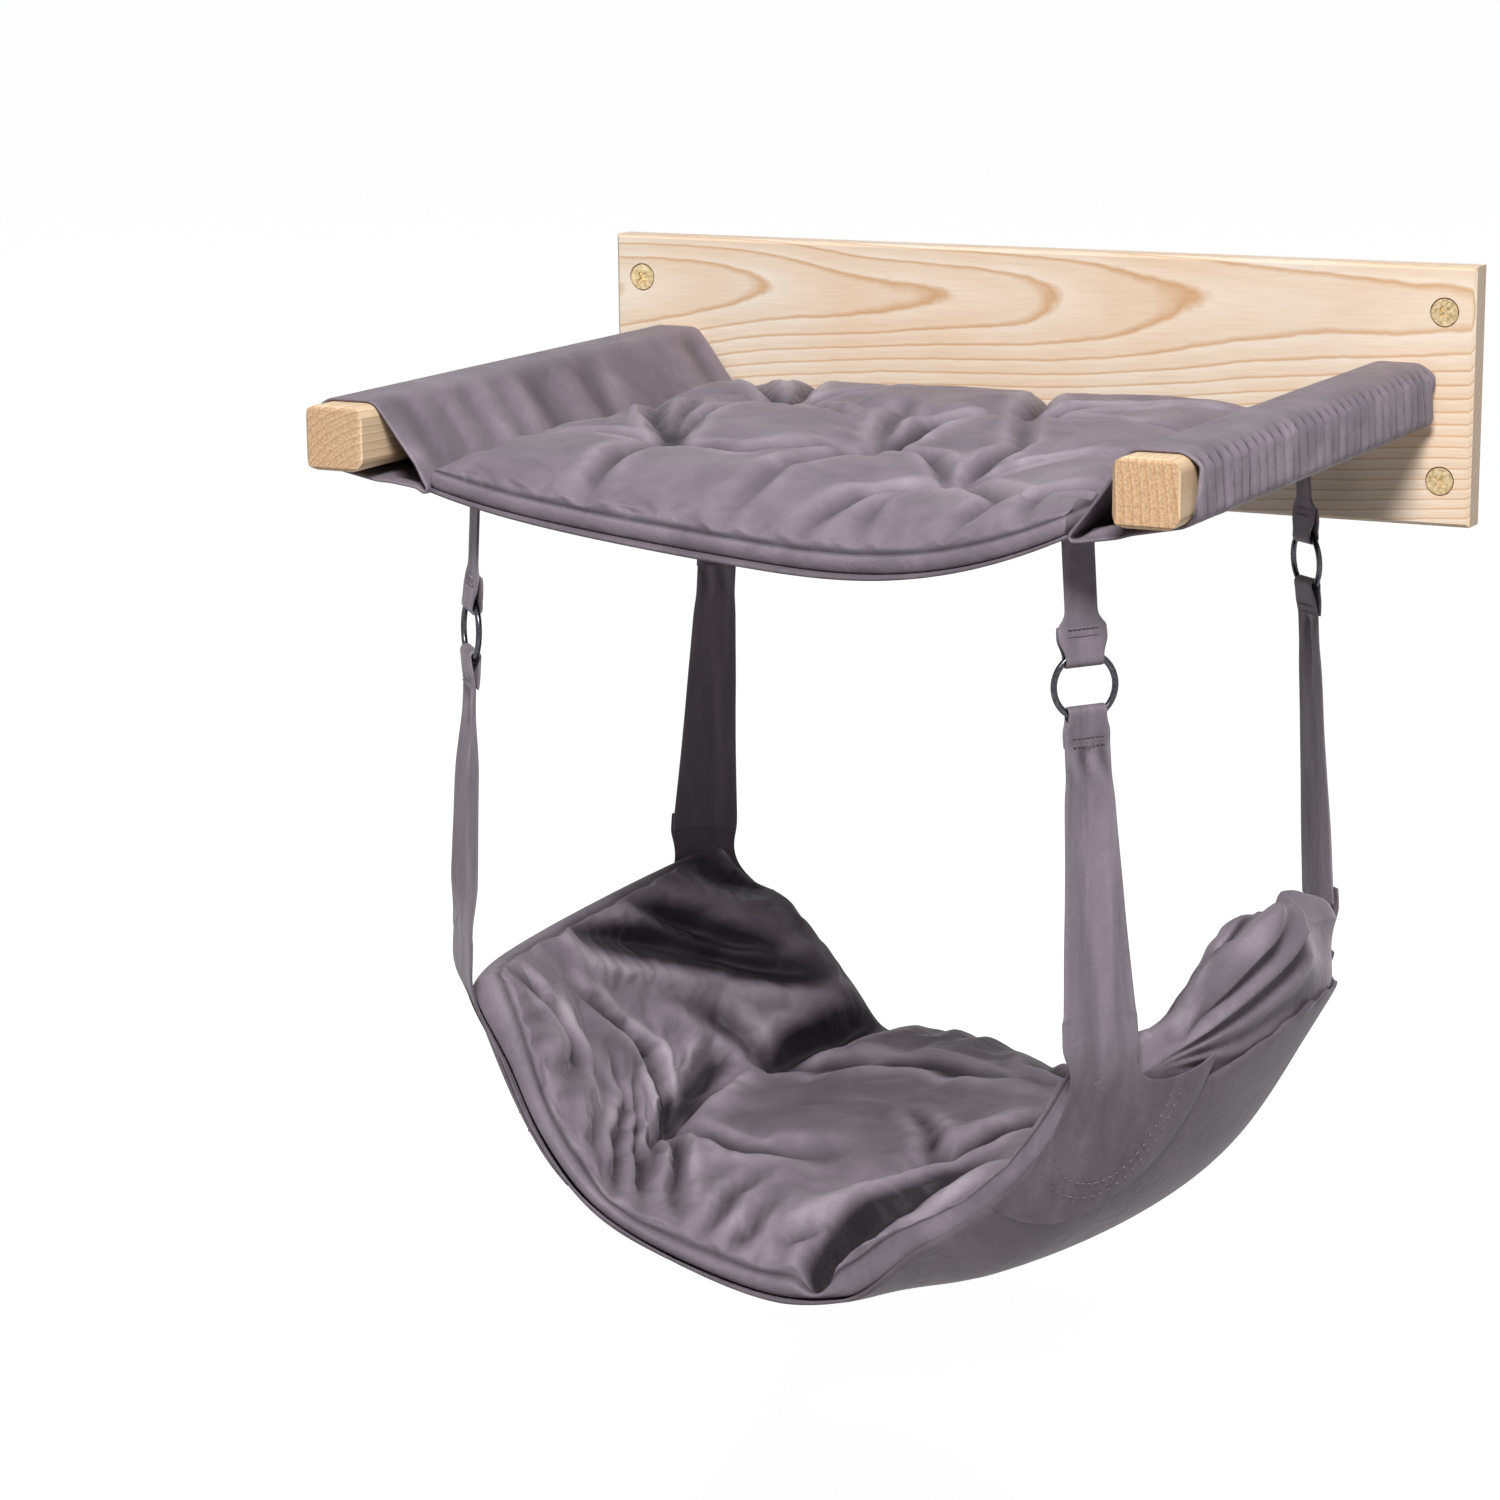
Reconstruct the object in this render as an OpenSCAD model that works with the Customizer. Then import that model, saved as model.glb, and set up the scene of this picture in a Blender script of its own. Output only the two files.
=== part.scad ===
// Wall-mounted cat hammock bed with two tiers.
// Origin: centre of the back face of the wall board. +X right, +Y into the wall, +Z up.

/* [Wall board] */
// Length of the wall board
board_w = 550; // [520:5:700]
// Height of the wall board
board_h = 148; // [130:2:200]
// Thickness of the wall board
board_t = 18; // [16:1:24]
// Chamfer round the front face of the wall board
board_chamfer = 2; // [1:0.5:4]

/* [Arms] */
// Side of the square arms
arm_side = 35; // [32:1:42]
// Length of the arms in front of the board
arm_len = 395; // [360:5:440]
// Distance between the two arms, centre to centre
arm_spacing = 463; // [450:1:470]
// Radius of the long edges of the arms
arm_corner_r = 7.5; // [4:0.5:9]
// Chamfer round the front end of an arm
arm_chamfer = 2; // [1:0.5:3]

/* [Screws] */
// Distance of the wall screws from the board's ends
wall_screw_inset_x = 18; // [16:1:20]
// Distance of the wall screws from the board's long edges
wall_screw_inset_z = 26; // [20:1:34]
// Outer diameter of the wall screws' thread
wall_thread_d = 5; // [4.5:0.5:6]
// Diameter of the wall screws' smooth neck inside the board
wall_neck_d = 3.8; // [3:0.2:4]
// Length of wall screw that stands out behind the board
wall_reach = 32; // [25:1:45]
// Head diameter of the wall screws
wall_head_d = 15.5; // [12:0.5:17]
// Head height of the wall screws
wall_head_h = 2.6; // [2:0.2:3.4]
// Shank diameter of the screws that hold the arms
arm_shank_d = 5; // [4:0.5:6]
// Head diameter of the screws that hold the arms
arm_head_d = 10; // [8:0.5:12]
// Length of the screws that hold the arms
arm_screw_len = 55; // [40:1:80]
// Distance between the two screws of one arm
arm_screw_pitch = 17; // [14:1:18]

/* [Upper hammock] */
// Wood left bare at the front end of each arm
bare_front = 18; // [12:1:35]
// Gap between the sleeves and the board
sleeve_rear_gap = 4; // [3:1:12]
// Thickness of the sleeve cloth
sleeve_cloth = 1.6; // [1.2:0.1:2.4]
// Distance from an arm's inner face to the seam of its sleeve
seam_reach = 27; // [22:1:40]
// Depth of the sleeve seam below the middle of the arms
seam_drop = 27; // [24:1:36]
// Number of gathers along each sleeve
gather_count = 30; // [20:1:36]
// Depth of the gathers
gather_depth = 2.6; // [1.5:0.1:3.5]
// Thickness of the hammock's under cloth
sling_cloth = 2; // [1.5:0.1:3]
// Sag of the hammock at its front edge
sag_front = 27; // [10:1:40]
// Sag of the hammock at its rear edge
sag_rear = 6; // [2:1:20]
// Thickness of the upper pad at its sewn edge
upper_rim = 9; // [5:0.5:12]
// Height of the upper pad's crown over its sewn edge
upper_crown = 24; // [12:1:30]
// Depth of the upper pad's tufts
upper_tuft_depth = 15; // [6:1:18]

/* [Straps and rings] */
// Width of the upper straps
upper_strap_w = 18; // [15:1:20]
// Thickness of the straps
strap_t = 2.4; // [2:0.1:3]
// Width of the loops that hold the rings
loop_w = 20; // [17:0.5:22]
// Length from the fold of a front upper strap to the centre of its ring
front_ring_drop = 66; // [50:1:80]
// Length from the fold of a rear upper strap to the centre of its ring
rear_ring_drop = 54; // [50:1:80]
// Outer diameter of the rings
ring_d = 37; // [34:0.5:44]
// Diameter of the ring wire
ring_wire_d = 3.4; // [2.8:0.1:4]
// Length of a whole strap from its upper fold to its fold above the lower bed
strap_len = 248; // [220:1:300]
// Width of a lower strap at its foot
strap_foot_w = 42; // [32:1:46]
// Distance of the front straps from the middle of the object
front_strap_x = 176; // [165:1:180]
// Distance of the rear straps from the middle of the object
rear_strap_x = 186; // [180:1:192]
// How far the straps lean outwards over their length
strap_lean = 15; // [5:1:20]
// Distance of the rear straps from the wall
rear_strap_y = 48; // [44:1:60]
// Distance between the front and the rear straps
strap_span_y = 312; // [290:1:320]

/* [Lower bed] */
// Depth of the lower bed's trough at its front edge
trough_front = 149; // [120:1:180]
// Depth of the lower bed's trough at its rear edge
trough_rear = 122; // [100:1:160]
// Extra depth of the trough in the middle of the bed
trough_belly = 6; // [0:1:30]
// Bulge of the bed's left side between the straps
left_bulge = 14; // [4:1:50]
// Bulge of the bed's right side between the straps
right_bulge = 50; // [4:1:55]
// Swell of the bed's walls below their upper edges
wall_swell = 35; // [10:1:40]
// Height of the bed's sides above its corners, half way between the straps
side_rise = 28; // [10:1:35]
// How far the way the bed hangs lifts its right side and lowers its left one
hang_tilt = 32; // [0:1:36]
// How far the bottom of the trough lies to the right of the middle
keel_shift = 12; // [0:1:20]
// Thickness of the bed's outer cloth
cradle_cloth = 2; // [1.5:0.1:3]
// Thickness of the lower pad at its sewn edge
lower_rim = 9; // [6:0.5:14]
// Height of the lower pad's crown over its sewn edge
lower_crown = 31; // [18:1:36]
// Depth of the lower pad's tufts
lower_tuft_depth = 18; // [8:1:20]

/* [Hidden] */
$fn = 48;

// Colours
wood = "#e9cfae";
brass_screw = "#c9a85c";
velvet = "#877d86";
velvet_dark = "#6f6670";
gunmetal = "#4b4b50";

// Gaps and overruns
cut_over = 1;
seat_gap = 0.3;
cloth_gap = 0.4;
wood_gap = 0.25;
// Gap between the lower pad and its cloth, wider than their flat facets stray from the curve
facet_gap = 1.6;
swing_gap = 0.6;

// Wood and screws
arm_x = arm_spacing / 2;
arm_half = arm_side / 2;
arm_front_y = -(board_t + arm_len);
wall_screw_x = board_w / 2 - wall_screw_inset_x;
wall_screw_z = board_h / 2 - wall_screw_inset_z;
wall_head_edge = 1;
wall_tip_len = 1.4 * wall_thread_d;
counterbore_d = wall_head_d + 1.5 * wall_head_edge;
counterbore_depth = wall_head_h + 0.4 * wall_head_edge;
recess_span = 0.46 * wall_head_d;
recess_w = 0.11 * wall_head_d;
recess_depth = 0.6 * wall_head_h;
arm_head_h = (arm_head_d - arm_shank_d) / 2;
pilot_clearance = wood_gap;

// Upper hammock
hammock_front_y = arm_front_y + bare_front;
sleeve_rear_y = -(board_t + sleeve_rear_gap);
pad_rear_inset = 12;
sling_rear_y = sleeve_rear_y - pad_rear_inset;
seam_r = 1.5;
sleeve_seam_x = arm_x - arm_half - seam_reach;
sling_half_w = sleeve_seam_x - seam_r - sleeve_cloth - cloth_gap;
sling_edge_z = -seam_drop - sling_cloth / 2;
pad_draw_in = 5;
pad_edge_inset = 2;
tuft_spread = 34;
knot_r = 2.4;
knot_h = 3;
// Places of the tufts across and along a pad, counted from its middle in cells of its grid
upper_tuft_cells = [[-7, -4], [-7, 4], [1, -2], [6, -5], [4, 4]];
lower_tuft_cells = [[-5, -2], [-5, 5], [1, -2], [6, -5], [4, 4]];

// Straps and rings
front_strap_y = rear_strap_y + strap_span_y;
ring_wire_r = ring_wire_d / 2;
ring_mean_r = (ring_d - ring_wire_d) / 2;
ring_inner_r = ring_mean_r - ring_wire_r;
loop_cloth = 1.3;
loop_in_r = ring_wire_r + swing_gap;
loop_out_r = loop_in_r + loop_cloth;
// Height over the ring's centre at which the ends of a loop rest on the wire
loop_rest = sqrt(pow(ring_inner_r, 2) - pow(loop_w / 2, 2)) - seat_gap;
loop_len = 21;
stitch_band = 7;
loop_end_share = 0.6;
strap_angle = 45;
fold_r = upper_strap_w / 2;
foot_r = strap_foot_w / 2;
lean_angle = atan(strap_lean / strap_len);
foot_clear = swing_gap;
foot_flap_h = 44;
foot_flap_w = 16;
// Half widths down a lower strap, in shares of its foot, and their places, in shares of its length
strap_width_shares = [0.50, 0.66, 0.80, 0.91, 1.00];
strap_place_shares = [0, 0.20, 0.58, 0.82, 1.00];

// The fold of a strap lies under the sling and under the seam of the sleeve, clear of both
sling_power = 2.6;
function sling_share_x(x) = 1 - pow(abs(x) / sling_half_w, sling_power);
function sling_share_y(y) = (y - hammock_front_y) / (sling_rear_y - hammock_front_y);
function sling_under(x, y) =
    sling_edge_z - (sag_front + (sag_rear - sag_front) * sling_share_y(y)) * sling_share_x(x);
sleeve_under = -(seam_drop + seam_r + sleeve_cloth);
front_fold_z = min(sleeve_under, sling_under(front_strap_x - fold_r, -front_strap_y)) - fold_r - seat_gap;
rear_fold_z = min(sleeve_under, sling_under(rear_strap_x - 2 * fold_r, -rear_strap_y)) - fold_r - seat_gap;

// Lower bed
corner_drop = strap_len + foot_r + 2.5 * foot_clear;
front_corner_x = front_strap_x + corner_drop * sin(lean_angle);
rear_corner_x = rear_strap_x + corner_drop * sin(lean_angle);
corner_cut = 13;
// The bed's corners lie inside the feet of the straps by this much in x and in y
foot_seat = (strap_t / 2 + seat_gap) / sqrt(2);
bed_front_y = -(front_strap_y + corner_cut);
bed_rear_y = -(rear_strap_y - corner_cut);
bed_mid_y = (bed_front_y + bed_rear_y) / 2;
bed_half_y = (bed_rear_y - bed_front_y) / 2;
front_corner_z = front_fold_z - corner_drop * cos(lean_angle);
rear_corner_z = rear_fold_z - corner_drop * cos(lean_angle);
edge_power = 1.76;
belly_power = 1.7;
side_power = 6;
bulge_power = 2;
corner_power = 4;
arc_angle = 72;
cradle_short_share = 0.12;

// Rings and sections of the cloth forms
pad_count_x = 26;
pad_count_y = 20;
sling_count_x = 20;
sling_count_y = 6;
cradle_count_x = 24;
cradle_count_y = 16;
corner_steps = 6;

// Points of an arc about a centre, from one angle to another
function arc_points(centre, radius, from, to, steps) =
    [for (i = [0 : steps]) let (a = from + (to - from) * i / steps) centre + radius * [cos(a), sin(a)]];

// Angle of the outward normal of the line that touches two circles, on the side given by turn
function touch_angle(c1, r1, c2, r2, turn) =
    let (d = c2 - c1) atan2(d[1], d[0]) + turn * acos(-(r2 - r1) / norm(d));

// Outline of a belt round two circles
function belt_points(c1, r1, c2, r2, steps) =
    let (low = touch_angle(c1, r1, c2, r2, -1), high = touch_angle(c1, r1, c2, r2, 1))
    concat(arc_points(c2, r2, low, high, steps), arc_points(c1, r1, high, low + 360, steps));

// Closed solid between two grids of points that share their outline
module cloth_solid(top, bottom) {
    rows = len(top);
    cols = len(top[0]);
    flat_top = [for (row = top) each row];
    flat_bottom = [for (row = bottom) each row];
    base = rows * cols;
    rim = concat([for (j = [0 : cols - 2]) j],
                 [for (i = [0 : rows - 2]) i * cols + cols - 1],
                 [for (j = [cols - 1 : -1 : 1]) (rows - 1) * cols + j],
                 [for (i = [rows - 1 : -1 : 1]) i * cols]);
    count = len(rim);
    faces = concat(
        [for (i = [0 : rows - 2], j = [0 : cols - 2]) let (a = i * cols + j)
            each [[a, a + cols, a + 1], [a + 1, a + cols, a + cols + 1]]],
        [for (i = [0 : rows - 2], j = [0 : cols - 2]) let (a = base + i * cols + j)
            each [[a, a + 1, a + cols], [a + 1, a + cols + 1, a + cols]]],
        [for (k = [0 : count - 1]) let (a = rim[k], b = rim[(k + 1) % count])
            each [[a, b, base + a], [b, base + b, base + a]]]);
    polyhedron(points = concat(flat_top, flat_bottom), faces = faces, convexity = 6);
}

// Share of a crown at a place from -1 to 1: full inside, falling to nothing at the sewn edge
function crown_share(s) = sqrt(max(0, 1 - pow(abs(s), 3.2)));

// Places of the tufts in shares of the grid, from -1 to 1
function cell_share(cell) = [2 * cell[0] / pad_count_x, 2 * cell[1] / pad_count_y];
upper_tuft_shares = [for (cell = upper_tuft_cells) cell_share(cell)];
lower_tuft_shares = [for (cell = lower_tuft_cells) cell_share(cell)];

// Depth share of the tufts at a point of a pad's floor, with folds that run out from each tuft
folds_round = 5;
fold_share = 0.25;
function tuft_share(point, tufts) =
    max([for (tuft = tufts)
        let (away = point - tuft, d = norm(away) / tuft_spread)
        exp(-d) * (1 + fold_share * cos(folds_round * atan2(away[1], away[0])) * min(1, d))]);

// Rows and columns of the six grid points round a point of a pad
ring_steps = [[0, 1], [1, 0], [1, -1], [0, -1], [-1, 0], [-1, 1]];

// Slope of the steepest facet round a point, against the direction that a knot points
function facet_slope(here, next, after, up) =
    let (n = cross(next - here, after - here), c = abs(n * up) / norm(n)) sqrt(1 - c * c) / c;
function steepest(here, around, up) =
    max([for (k = [0 : 5]) facet_slope(here, around[k], around[(k + 1) % 6], up)]);

// A knot that stands on the bottom of its tuft, clear of the pad all round
module knot(here, around, up) {
    translate(here + (knot_r * steepest(here, around, up) + seat_gap) * up)
        rotate([0, acos(up[2]), atan2(up[1], up[0])]) cylinder(h = knot_h, r = knot_r);
}

// Upper hammock surfaces, s and t run from -1 to 1 across and from front to rear
upper_mid_y = (hammock_front_y + sling_rear_y) / 2;
upper_half_y = (sling_rear_y - hammock_front_y) / 2;
function upper_x(s, t, inset) = s * (sling_half_w - inset - (inset > 0 ? pad_draw_in * (1 - t * t) : 0));
function upper_y(s, t, inset) =
    upper_mid_y + t * (upper_half_y - inset - (inset > 0 ? pad_draw_in * (1 - s * s) : 0));
function upper_sling_point(s, t, lift) =
    let (x = upper_x(s, t, 0), y = upper_y(s, t, 0)) [x, y, sling_under(x, y) + lift];
function upper_floor(s, t) =
    let (x = upper_x(s, t, pad_edge_inset), y = upper_y(s, t, pad_edge_inset))
    [x, y, sling_under(x, y) + sling_cloth + cloth_gap];
upper_tufts = [for (share = upper_tuft_shares) upper_floor(share[0], share[1])];
function upper_pad_lift(s, t) =
    upper_rim + crown_share(s) * crown_share(t)
    * (upper_crown - upper_tuft_depth * tuft_share(upper_floor(s, t), upper_tufts));
function upper_pad_point(s, t, top) = upper_floor(s, t) + [0, 0, top ? upper_pad_lift(s, t) : 0];

// Lower bed surfaces, s and t run from -1 to 1 across and from front to rear
function belly(t) = 1 - pow(abs(t), 3);
function side_share(t) = pow(1 - t * t, bulge_power);
function side_mix(left, right, u) = (left + right) / 2 + u * (right - left) / 2;
function bed_half_w(u, t) =
    (front_corner_x + rear_corner_x) / 2 + t * (rear_corner_x - front_corner_x) / 2
    + corner_cut + side_mix(left_bulge, right_bulge, u) * side_share(t);
function bed_rim_z(t) = (front_corner_z + rear_corner_z) / 2 + t * (rear_corner_z - front_corner_z) / 2;
function bed_spread(s) = sin(s * arc_angle) / sin(arc_angle);
function bed_point(s, t) =
    let (u = bed_spread(s), cut = (corner_cut + foot_seat) * pow(abs(u * t), corner_power),
         power = edge_power + belly_power * belly(t))
    [u * bed_half_w(u, t) - sign(u) * cut
     + wall_swell * side_share(t) * sin(180 * u) + keel_shift * (1 - u * u),
     bed_mid_y + t * bed_half_y - sign(t) * cut,
     bed_rim_z(t) + side_share(t) * (hang_tilt * u + side_rise * pow(abs(u), side_power))
     - (side_mix(trough_front, trough_rear, t) + trough_belly * belly(t)) * (1 - pow(abs(u), power))];
probe = 0.01;
function bed_normal(s, t) =
    let (a = bed_point(s + probe, t) - bed_point(s - probe, t),
         b = bed_point(s, t + probe) - bed_point(s, t - probe),
         n = cross(a, b)) n / norm(n);
function bed_offset(s, t, lift) = bed_point(s, t) + lift * bed_normal(s, t);
function cradle_s(s, t) = s * (1 - cradle_short_share * belly(t));
pad_floor = cradle_cloth + facet_gap;
pad_share = 0.985;
function lower_floor(s, t) = bed_point(s * pad_share, t * pad_share);
lower_tufts = [for (share = lower_tuft_shares) lower_floor(share[0], share[1])];
function lower_pad_lift(s, t) =
    lower_rim + crown_share(s) * crown_share(t)
    * (lower_crown - lower_tuft_depth * tuft_share(lower_floor(s, t), lower_tufts));
function lower_pad_point(s, t, top) =
    bed_offset(s * pad_share, t * pad_share, pad_floor + (top ? lower_pad_lift(s, t) : 0));

// A prism with its long edges rounded, along Y from y0 to y1
module rounded_bar(side, corner, length) {
    flat_side = side - 2 * corner;
    translate([0, length, 0]) rotate([90, 0, 0]) linear_extrude(height = length) {
        square([side, flat_side], center = true);
        square([flat_side, side], center = true);
        for (x = [-1, 1], z = [-1, 1])
            translate([x * flat_side / 2, z * flat_side / 2]) circle(r = corner);
    }
}

// A wedge that takes the edge off the front of a bar, on the side turned to +Z
module edge_cut(half, width, chamfer) {
    translate([0, 0, half]) rotate([45, 0, 0])
        cube([width + 2 * cut_over, chamfer * sqrt(2), chamfer * sqrt(2)], center = true);
}

module wall_board() {
    color(wood) difference() {
        translate([-board_w / 2, -board_t, -board_h / 2]) cube([board_w, board_t, board_h]);
        for (z = [0, 180])
            translate([0, -board_t, 0]) rotate([0, z, 0]) edge_cut(board_h / 2, board_w, board_chamfer);
        for (z = [90, 270])
            translate([0, -board_t, 0]) rotate([0, z, 0]) edge_cut(board_w / 2, board_h, board_chamfer);
        for (x = [-1, 1], z = [-1, 1])
            translate([x * wall_screw_x, 0, z * wall_screw_z]) rotate([90, 0, 0]) {
                translate([0, 0, -cut_over])
                    cylinder(h = board_t + 2 * cut_over, d = wall_thread_d + 2 * pilot_clearance);
                translate([0, 0, board_t - counterbore_depth])
                    cylinder(h = counterbore_depth + cut_over, d = counterbore_d);
            }
        for (x = [-1, 1], z = [-1, 1])
            translate([x * arm_x, 0, z * arm_screw_pitch / 2]) rotate([90, 0, 0]) {
                translate([0, 0, -cut_over])
                    cylinder(h = board_t + 2 * cut_over, d = arm_shank_d + 2 * pilot_clearance);
                translate([0, 0, -pilot_clearance])
                    cylinder(h = arm_head_h + pilot_clearance,
                             d1 = arm_head_d + 4 * pilot_clearance,
                             d2 = arm_shank_d + 2 * pilot_clearance);
            }
    }
}

module arm(side) {
    translate([side * arm_x, arm_front_y, 0]) color(wood) difference() {
        rounded_bar(arm_side, arm_corner_r, arm_len);
        for (turn = [0 : 90 : 270])
            rotate([0, turn, 0]) edge_cut(arm_half, arm_side, arm_chamfer);
        for (z = [-1, 1])
            translate([0, arm_len + cut_over, z * arm_screw_pitch / 2]) rotate([90, 0, 0])
                cylinder(h = arm_screw_len - board_t + cut_over + pilot_clearance,
                         d = arm_shank_d + 2 * pilot_clearance);
    }
}

module left_arm() { arm(-1); }
module right_arm() { arm(1); }

// One wall screw along +Y, its head seated in the counterbore
module wall_screw() {
    head_y = -(board_t - counterbore_depth);
    difference() {
        union() {
            translate([0, head_y, 0]) rotate([90, 0, 0]) cylinder(h = wall_head_h, d = wall_head_d);
            rotate([90, 0, 0]) cylinder(h = -head_y, d = wall_neck_d);
            rotate([-90, 0, 0]) cylinder(h = wall_reach - wall_tip_len, d = wall_thread_d);
            translate([0, wall_reach - wall_tip_len, 0]) rotate([-90, 0, 0])
                cylinder(h = wall_tip_len, d1 = wall_thread_d, d2 = wall_thread_d / 8);
        }
        translate([0, head_y - wall_head_h, 0]) rotate([0, 45, 0])
            for (turn = [0, 90])
                rotate([0, turn, 0])
                    cube([recess_span, 2 * recess_depth, recess_w], center = true);
    }
}

module wall_screws() {
    color(brass_screw)
        for (x = [-1, 1], z = [-1, 1])
            translate([x * wall_screw_x, 0, z * wall_screw_z]) wall_screw();
}

// One countersunk screw that runs from behind the board into an arm
module arm_screw() {
    rotate([90, 0, 0]) difference() {
        union() {
            translate([0, 0, pilot_clearance])
                cylinder(h = arm_head_h, d1 = arm_head_d, d2 = arm_shank_d);
            translate([0, 0, pilot_clearance])
                cylinder(h = arm_screw_len - pilot_clearance, d = arm_shank_d);
        }
        for (turn = [0, 90])
            rotate([0, 0, turn])
                cube([recess_span / 2, recess_w / 2, 2 * arm_head_h], center = true);
    }
}

module arm_screws() {
    color(brass_screw)
        for (x = [-1, 1], z = [-1, 1])
            translate([x * arm_x, 0, z * arm_screw_pitch / 2]) arm_screw();
}

// Outline of the cloth round an arm and down to the seam, for the right side, with x outwards
function sleeve_outline(grow) =
    let (c = arm_half - arm_corner_r, r = arm_corner_r + cloth_gap + grow,
         seam = [-(arm_half + seam_reach), -seam_drop], rs = seam_r + grow,
         low = touch_angle(seam, rs, [c, -c], r, -1),
         high = touch_angle(seam, rs, [-c, c], r, 1))
    concat(arc_points([c, -c], r, low, 0, corner_steps),
           arc_points([c, c], r, 0, 90, corner_steps),
           arc_points([-c, c], r, 90, high, corner_steps),
           arc_points(seam, rs, high, low + 360, corner_steps));

// Gathers: the outer wall of a sleeve drawn up in upright ribs
module gathers(length) {
    wall_x = arm_half + cloth_gap + sleeve_cloth;
    pitch = length / gather_count;
    ribs = [for (i = [0 : gather_count * corner_steps])
        let (y = i * pitch / corner_steps, a = 360 * i / corner_steps)
        [wall_x + gather_depth * (1 - cos(a)) / 2, y]];
    gather_h = arm_side - 1.2 * arm_corner_r;
    translate([0, 0, -gather_h / 2]) linear_extrude(height = gather_h)
        polygon(concat([[wall_x - sleeve_cloth / 2, 0]], ribs, [[wall_x - sleeve_cloth / 2, length]]));
}

module sleeve(side) {
    length = sleeve_rear_y - hammock_front_y;
    color(velvet) mirror([side < 0 ? 1 : 0, 0, 0]) translate([arm_x, hammock_front_y, 0]) {
        translate([0, length, 0]) rotate([90, 0, 0]) linear_extrude(height = length) difference() {
            polygon(sleeve_outline(sleeve_cloth));
            polygon(sleeve_outline(0));
        }
        gathers(length);
    }
}

module left_sleeve() { sleeve(-1); }
module right_sleeve() { sleeve(1); }

// Even steps from -1 to 1
function steps(count) = [for (i = [0 : count]) -1 + 2 * i / count];

function upper_sling_grid(lift) =
    [for (t = steps(sling_count_y)) [for (s = steps(sling_count_x)) upper_sling_point(s, t, lift)]];
function upper_pad_grid(top) =
    [for (t = steps(pad_count_y)) [for (s = steps(pad_count_x)) upper_pad_point(s, t, top)]];

module upper_sling() {
    color(velvet_dark) cloth_solid(upper_sling_grid(sling_cloth), upper_sling_grid(0));
}

module upper_pad() {
    color(velvet) cloth_solid(upper_pad_grid(true), upper_pad_grid(false));
}

module upper_tuft_knots() {
    color(velvet_dark)
        for (cell = upper_tuft_cells) {
            share = cell_share(cell);
            around = [for (step = ring_steps) cell_share(cell + [step[1], step[0]])];
            knot(upper_pad_point(share[0], share[1], true),
                 [for (near = around) upper_pad_point(near[0], near[1], true)], [0, 0, 1]);
        }
}

function ring_drop(front) = front ? front_ring_drop : rear_ring_drop;

// Places a strap's parts: x runs across the strap, z up, with the fold above the strap at zero
module at_strap(side, front) {
    x = front ? front_strap_x : rear_strap_x;
    y = front ? -front_strap_y : -rear_strap_y;
    z = front ? front_fold_z : rear_fold_z;
    turn = (front ? 1 : -1) * strap_angle;
    mirror([side < 0 ? 1 : 0, 0, 0]) translate([x, y, z]) rotate([0, -lean_angle, 0])
        rotate([0, 0, turn]) children();
}

// A flat strap in the plane of x and z
module strap_sheet(points) {
    translate([0, strap_t / 2, 0]) rotate([90, 0, 0]) linear_extrude(height = strap_t) polygon(points);
}

// A sewn loop across the strap, round the wire of a ring, with its long end up or down
module ring_loop(up) {
    translate([-loop_w / 2, 0, 0]) rotate([90, 0, 90]) linear_extrude(height = loop_w) difference() {
        polygon(belt_points([0, up * loop_in_r], loop_out_r, [0, up * loop_len], strap_t / 2, corner_steps));
        polygon(belt_points([0, up * loop_in_r], loop_in_r,
                            [0, up * (loop_len - stitch_band)], loop_end_share * loop_in_r, corner_steps));
    }
}

module upper_strap(side, front) {
    loop_z = -ring_drop(front) + loop_rest;
    w = upper_strap_w / 2;
    color(velvet) at_strap(side, front) {
        strap_sheet(concat(arc_points([0, 0], w, 0, 180, 2 * corner_steps),
                           [[-w, loop_z + loop_len], [-w, loop_z + loop_len - stitch_band / 2],
                            [w, loop_z + loop_len - stitch_band / 2], [w, loop_z + loop_len]]));
        translate([0, 0, loop_z]) ring_loop(1);
    }
}

module ring(side, front) {
    color(gunmetal) at_strap(side, front) translate([0, 0, -ring_drop(front)]) rotate([90, 0, 0])
        rotate_extrude() translate([ring_mean_r, 0]) circle(r = ring_wire_r);
}

module lower_strap(side, front) {
    loop_z = -ring_drop(front) - loop_rest;
    top_z = loop_z - loop_len + stitch_band / 2;
    run = strap_len + top_z;
    count = len(strap_place_shares);
    right = [for (i = [0 : count - 1]) [foot_r * strap_width_shares[i], top_z - run * strap_place_shares[i]]];
    left = [for (i = [count - 1 : -1 : 0]) [-right[i][0], right[i][1]]];
    color(velvet) at_strap(side, front) {
        strap_sheet(concat(right, arc_points([0, -strap_len], foot_r, 0, -180, 2 * corner_steps), left));
        translate([0, 0, loop_z]) ring_loop(-1);
    }
}

// The sewn foot of a strap: a flap over the corner of the bed, hollowed round the end of the strap
module strap_foot(side, front) {
    out = foot_r + foot_clear;
    low_z = -strap_len - foot_flap_h;
    color(velvet_dark) at_strap(side, front)
        strap_sheet(concat(arc_points([0, -strap_len], out, -180, 0, 2 * corner_steps),
                           [[out + foot_flap_w / 8, -strap_len], [foot_flap_w / 2, low_z],
                            [-foot_flap_w / 2, low_z], [-out - foot_flap_w / 8, -strap_len]]));
}

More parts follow.
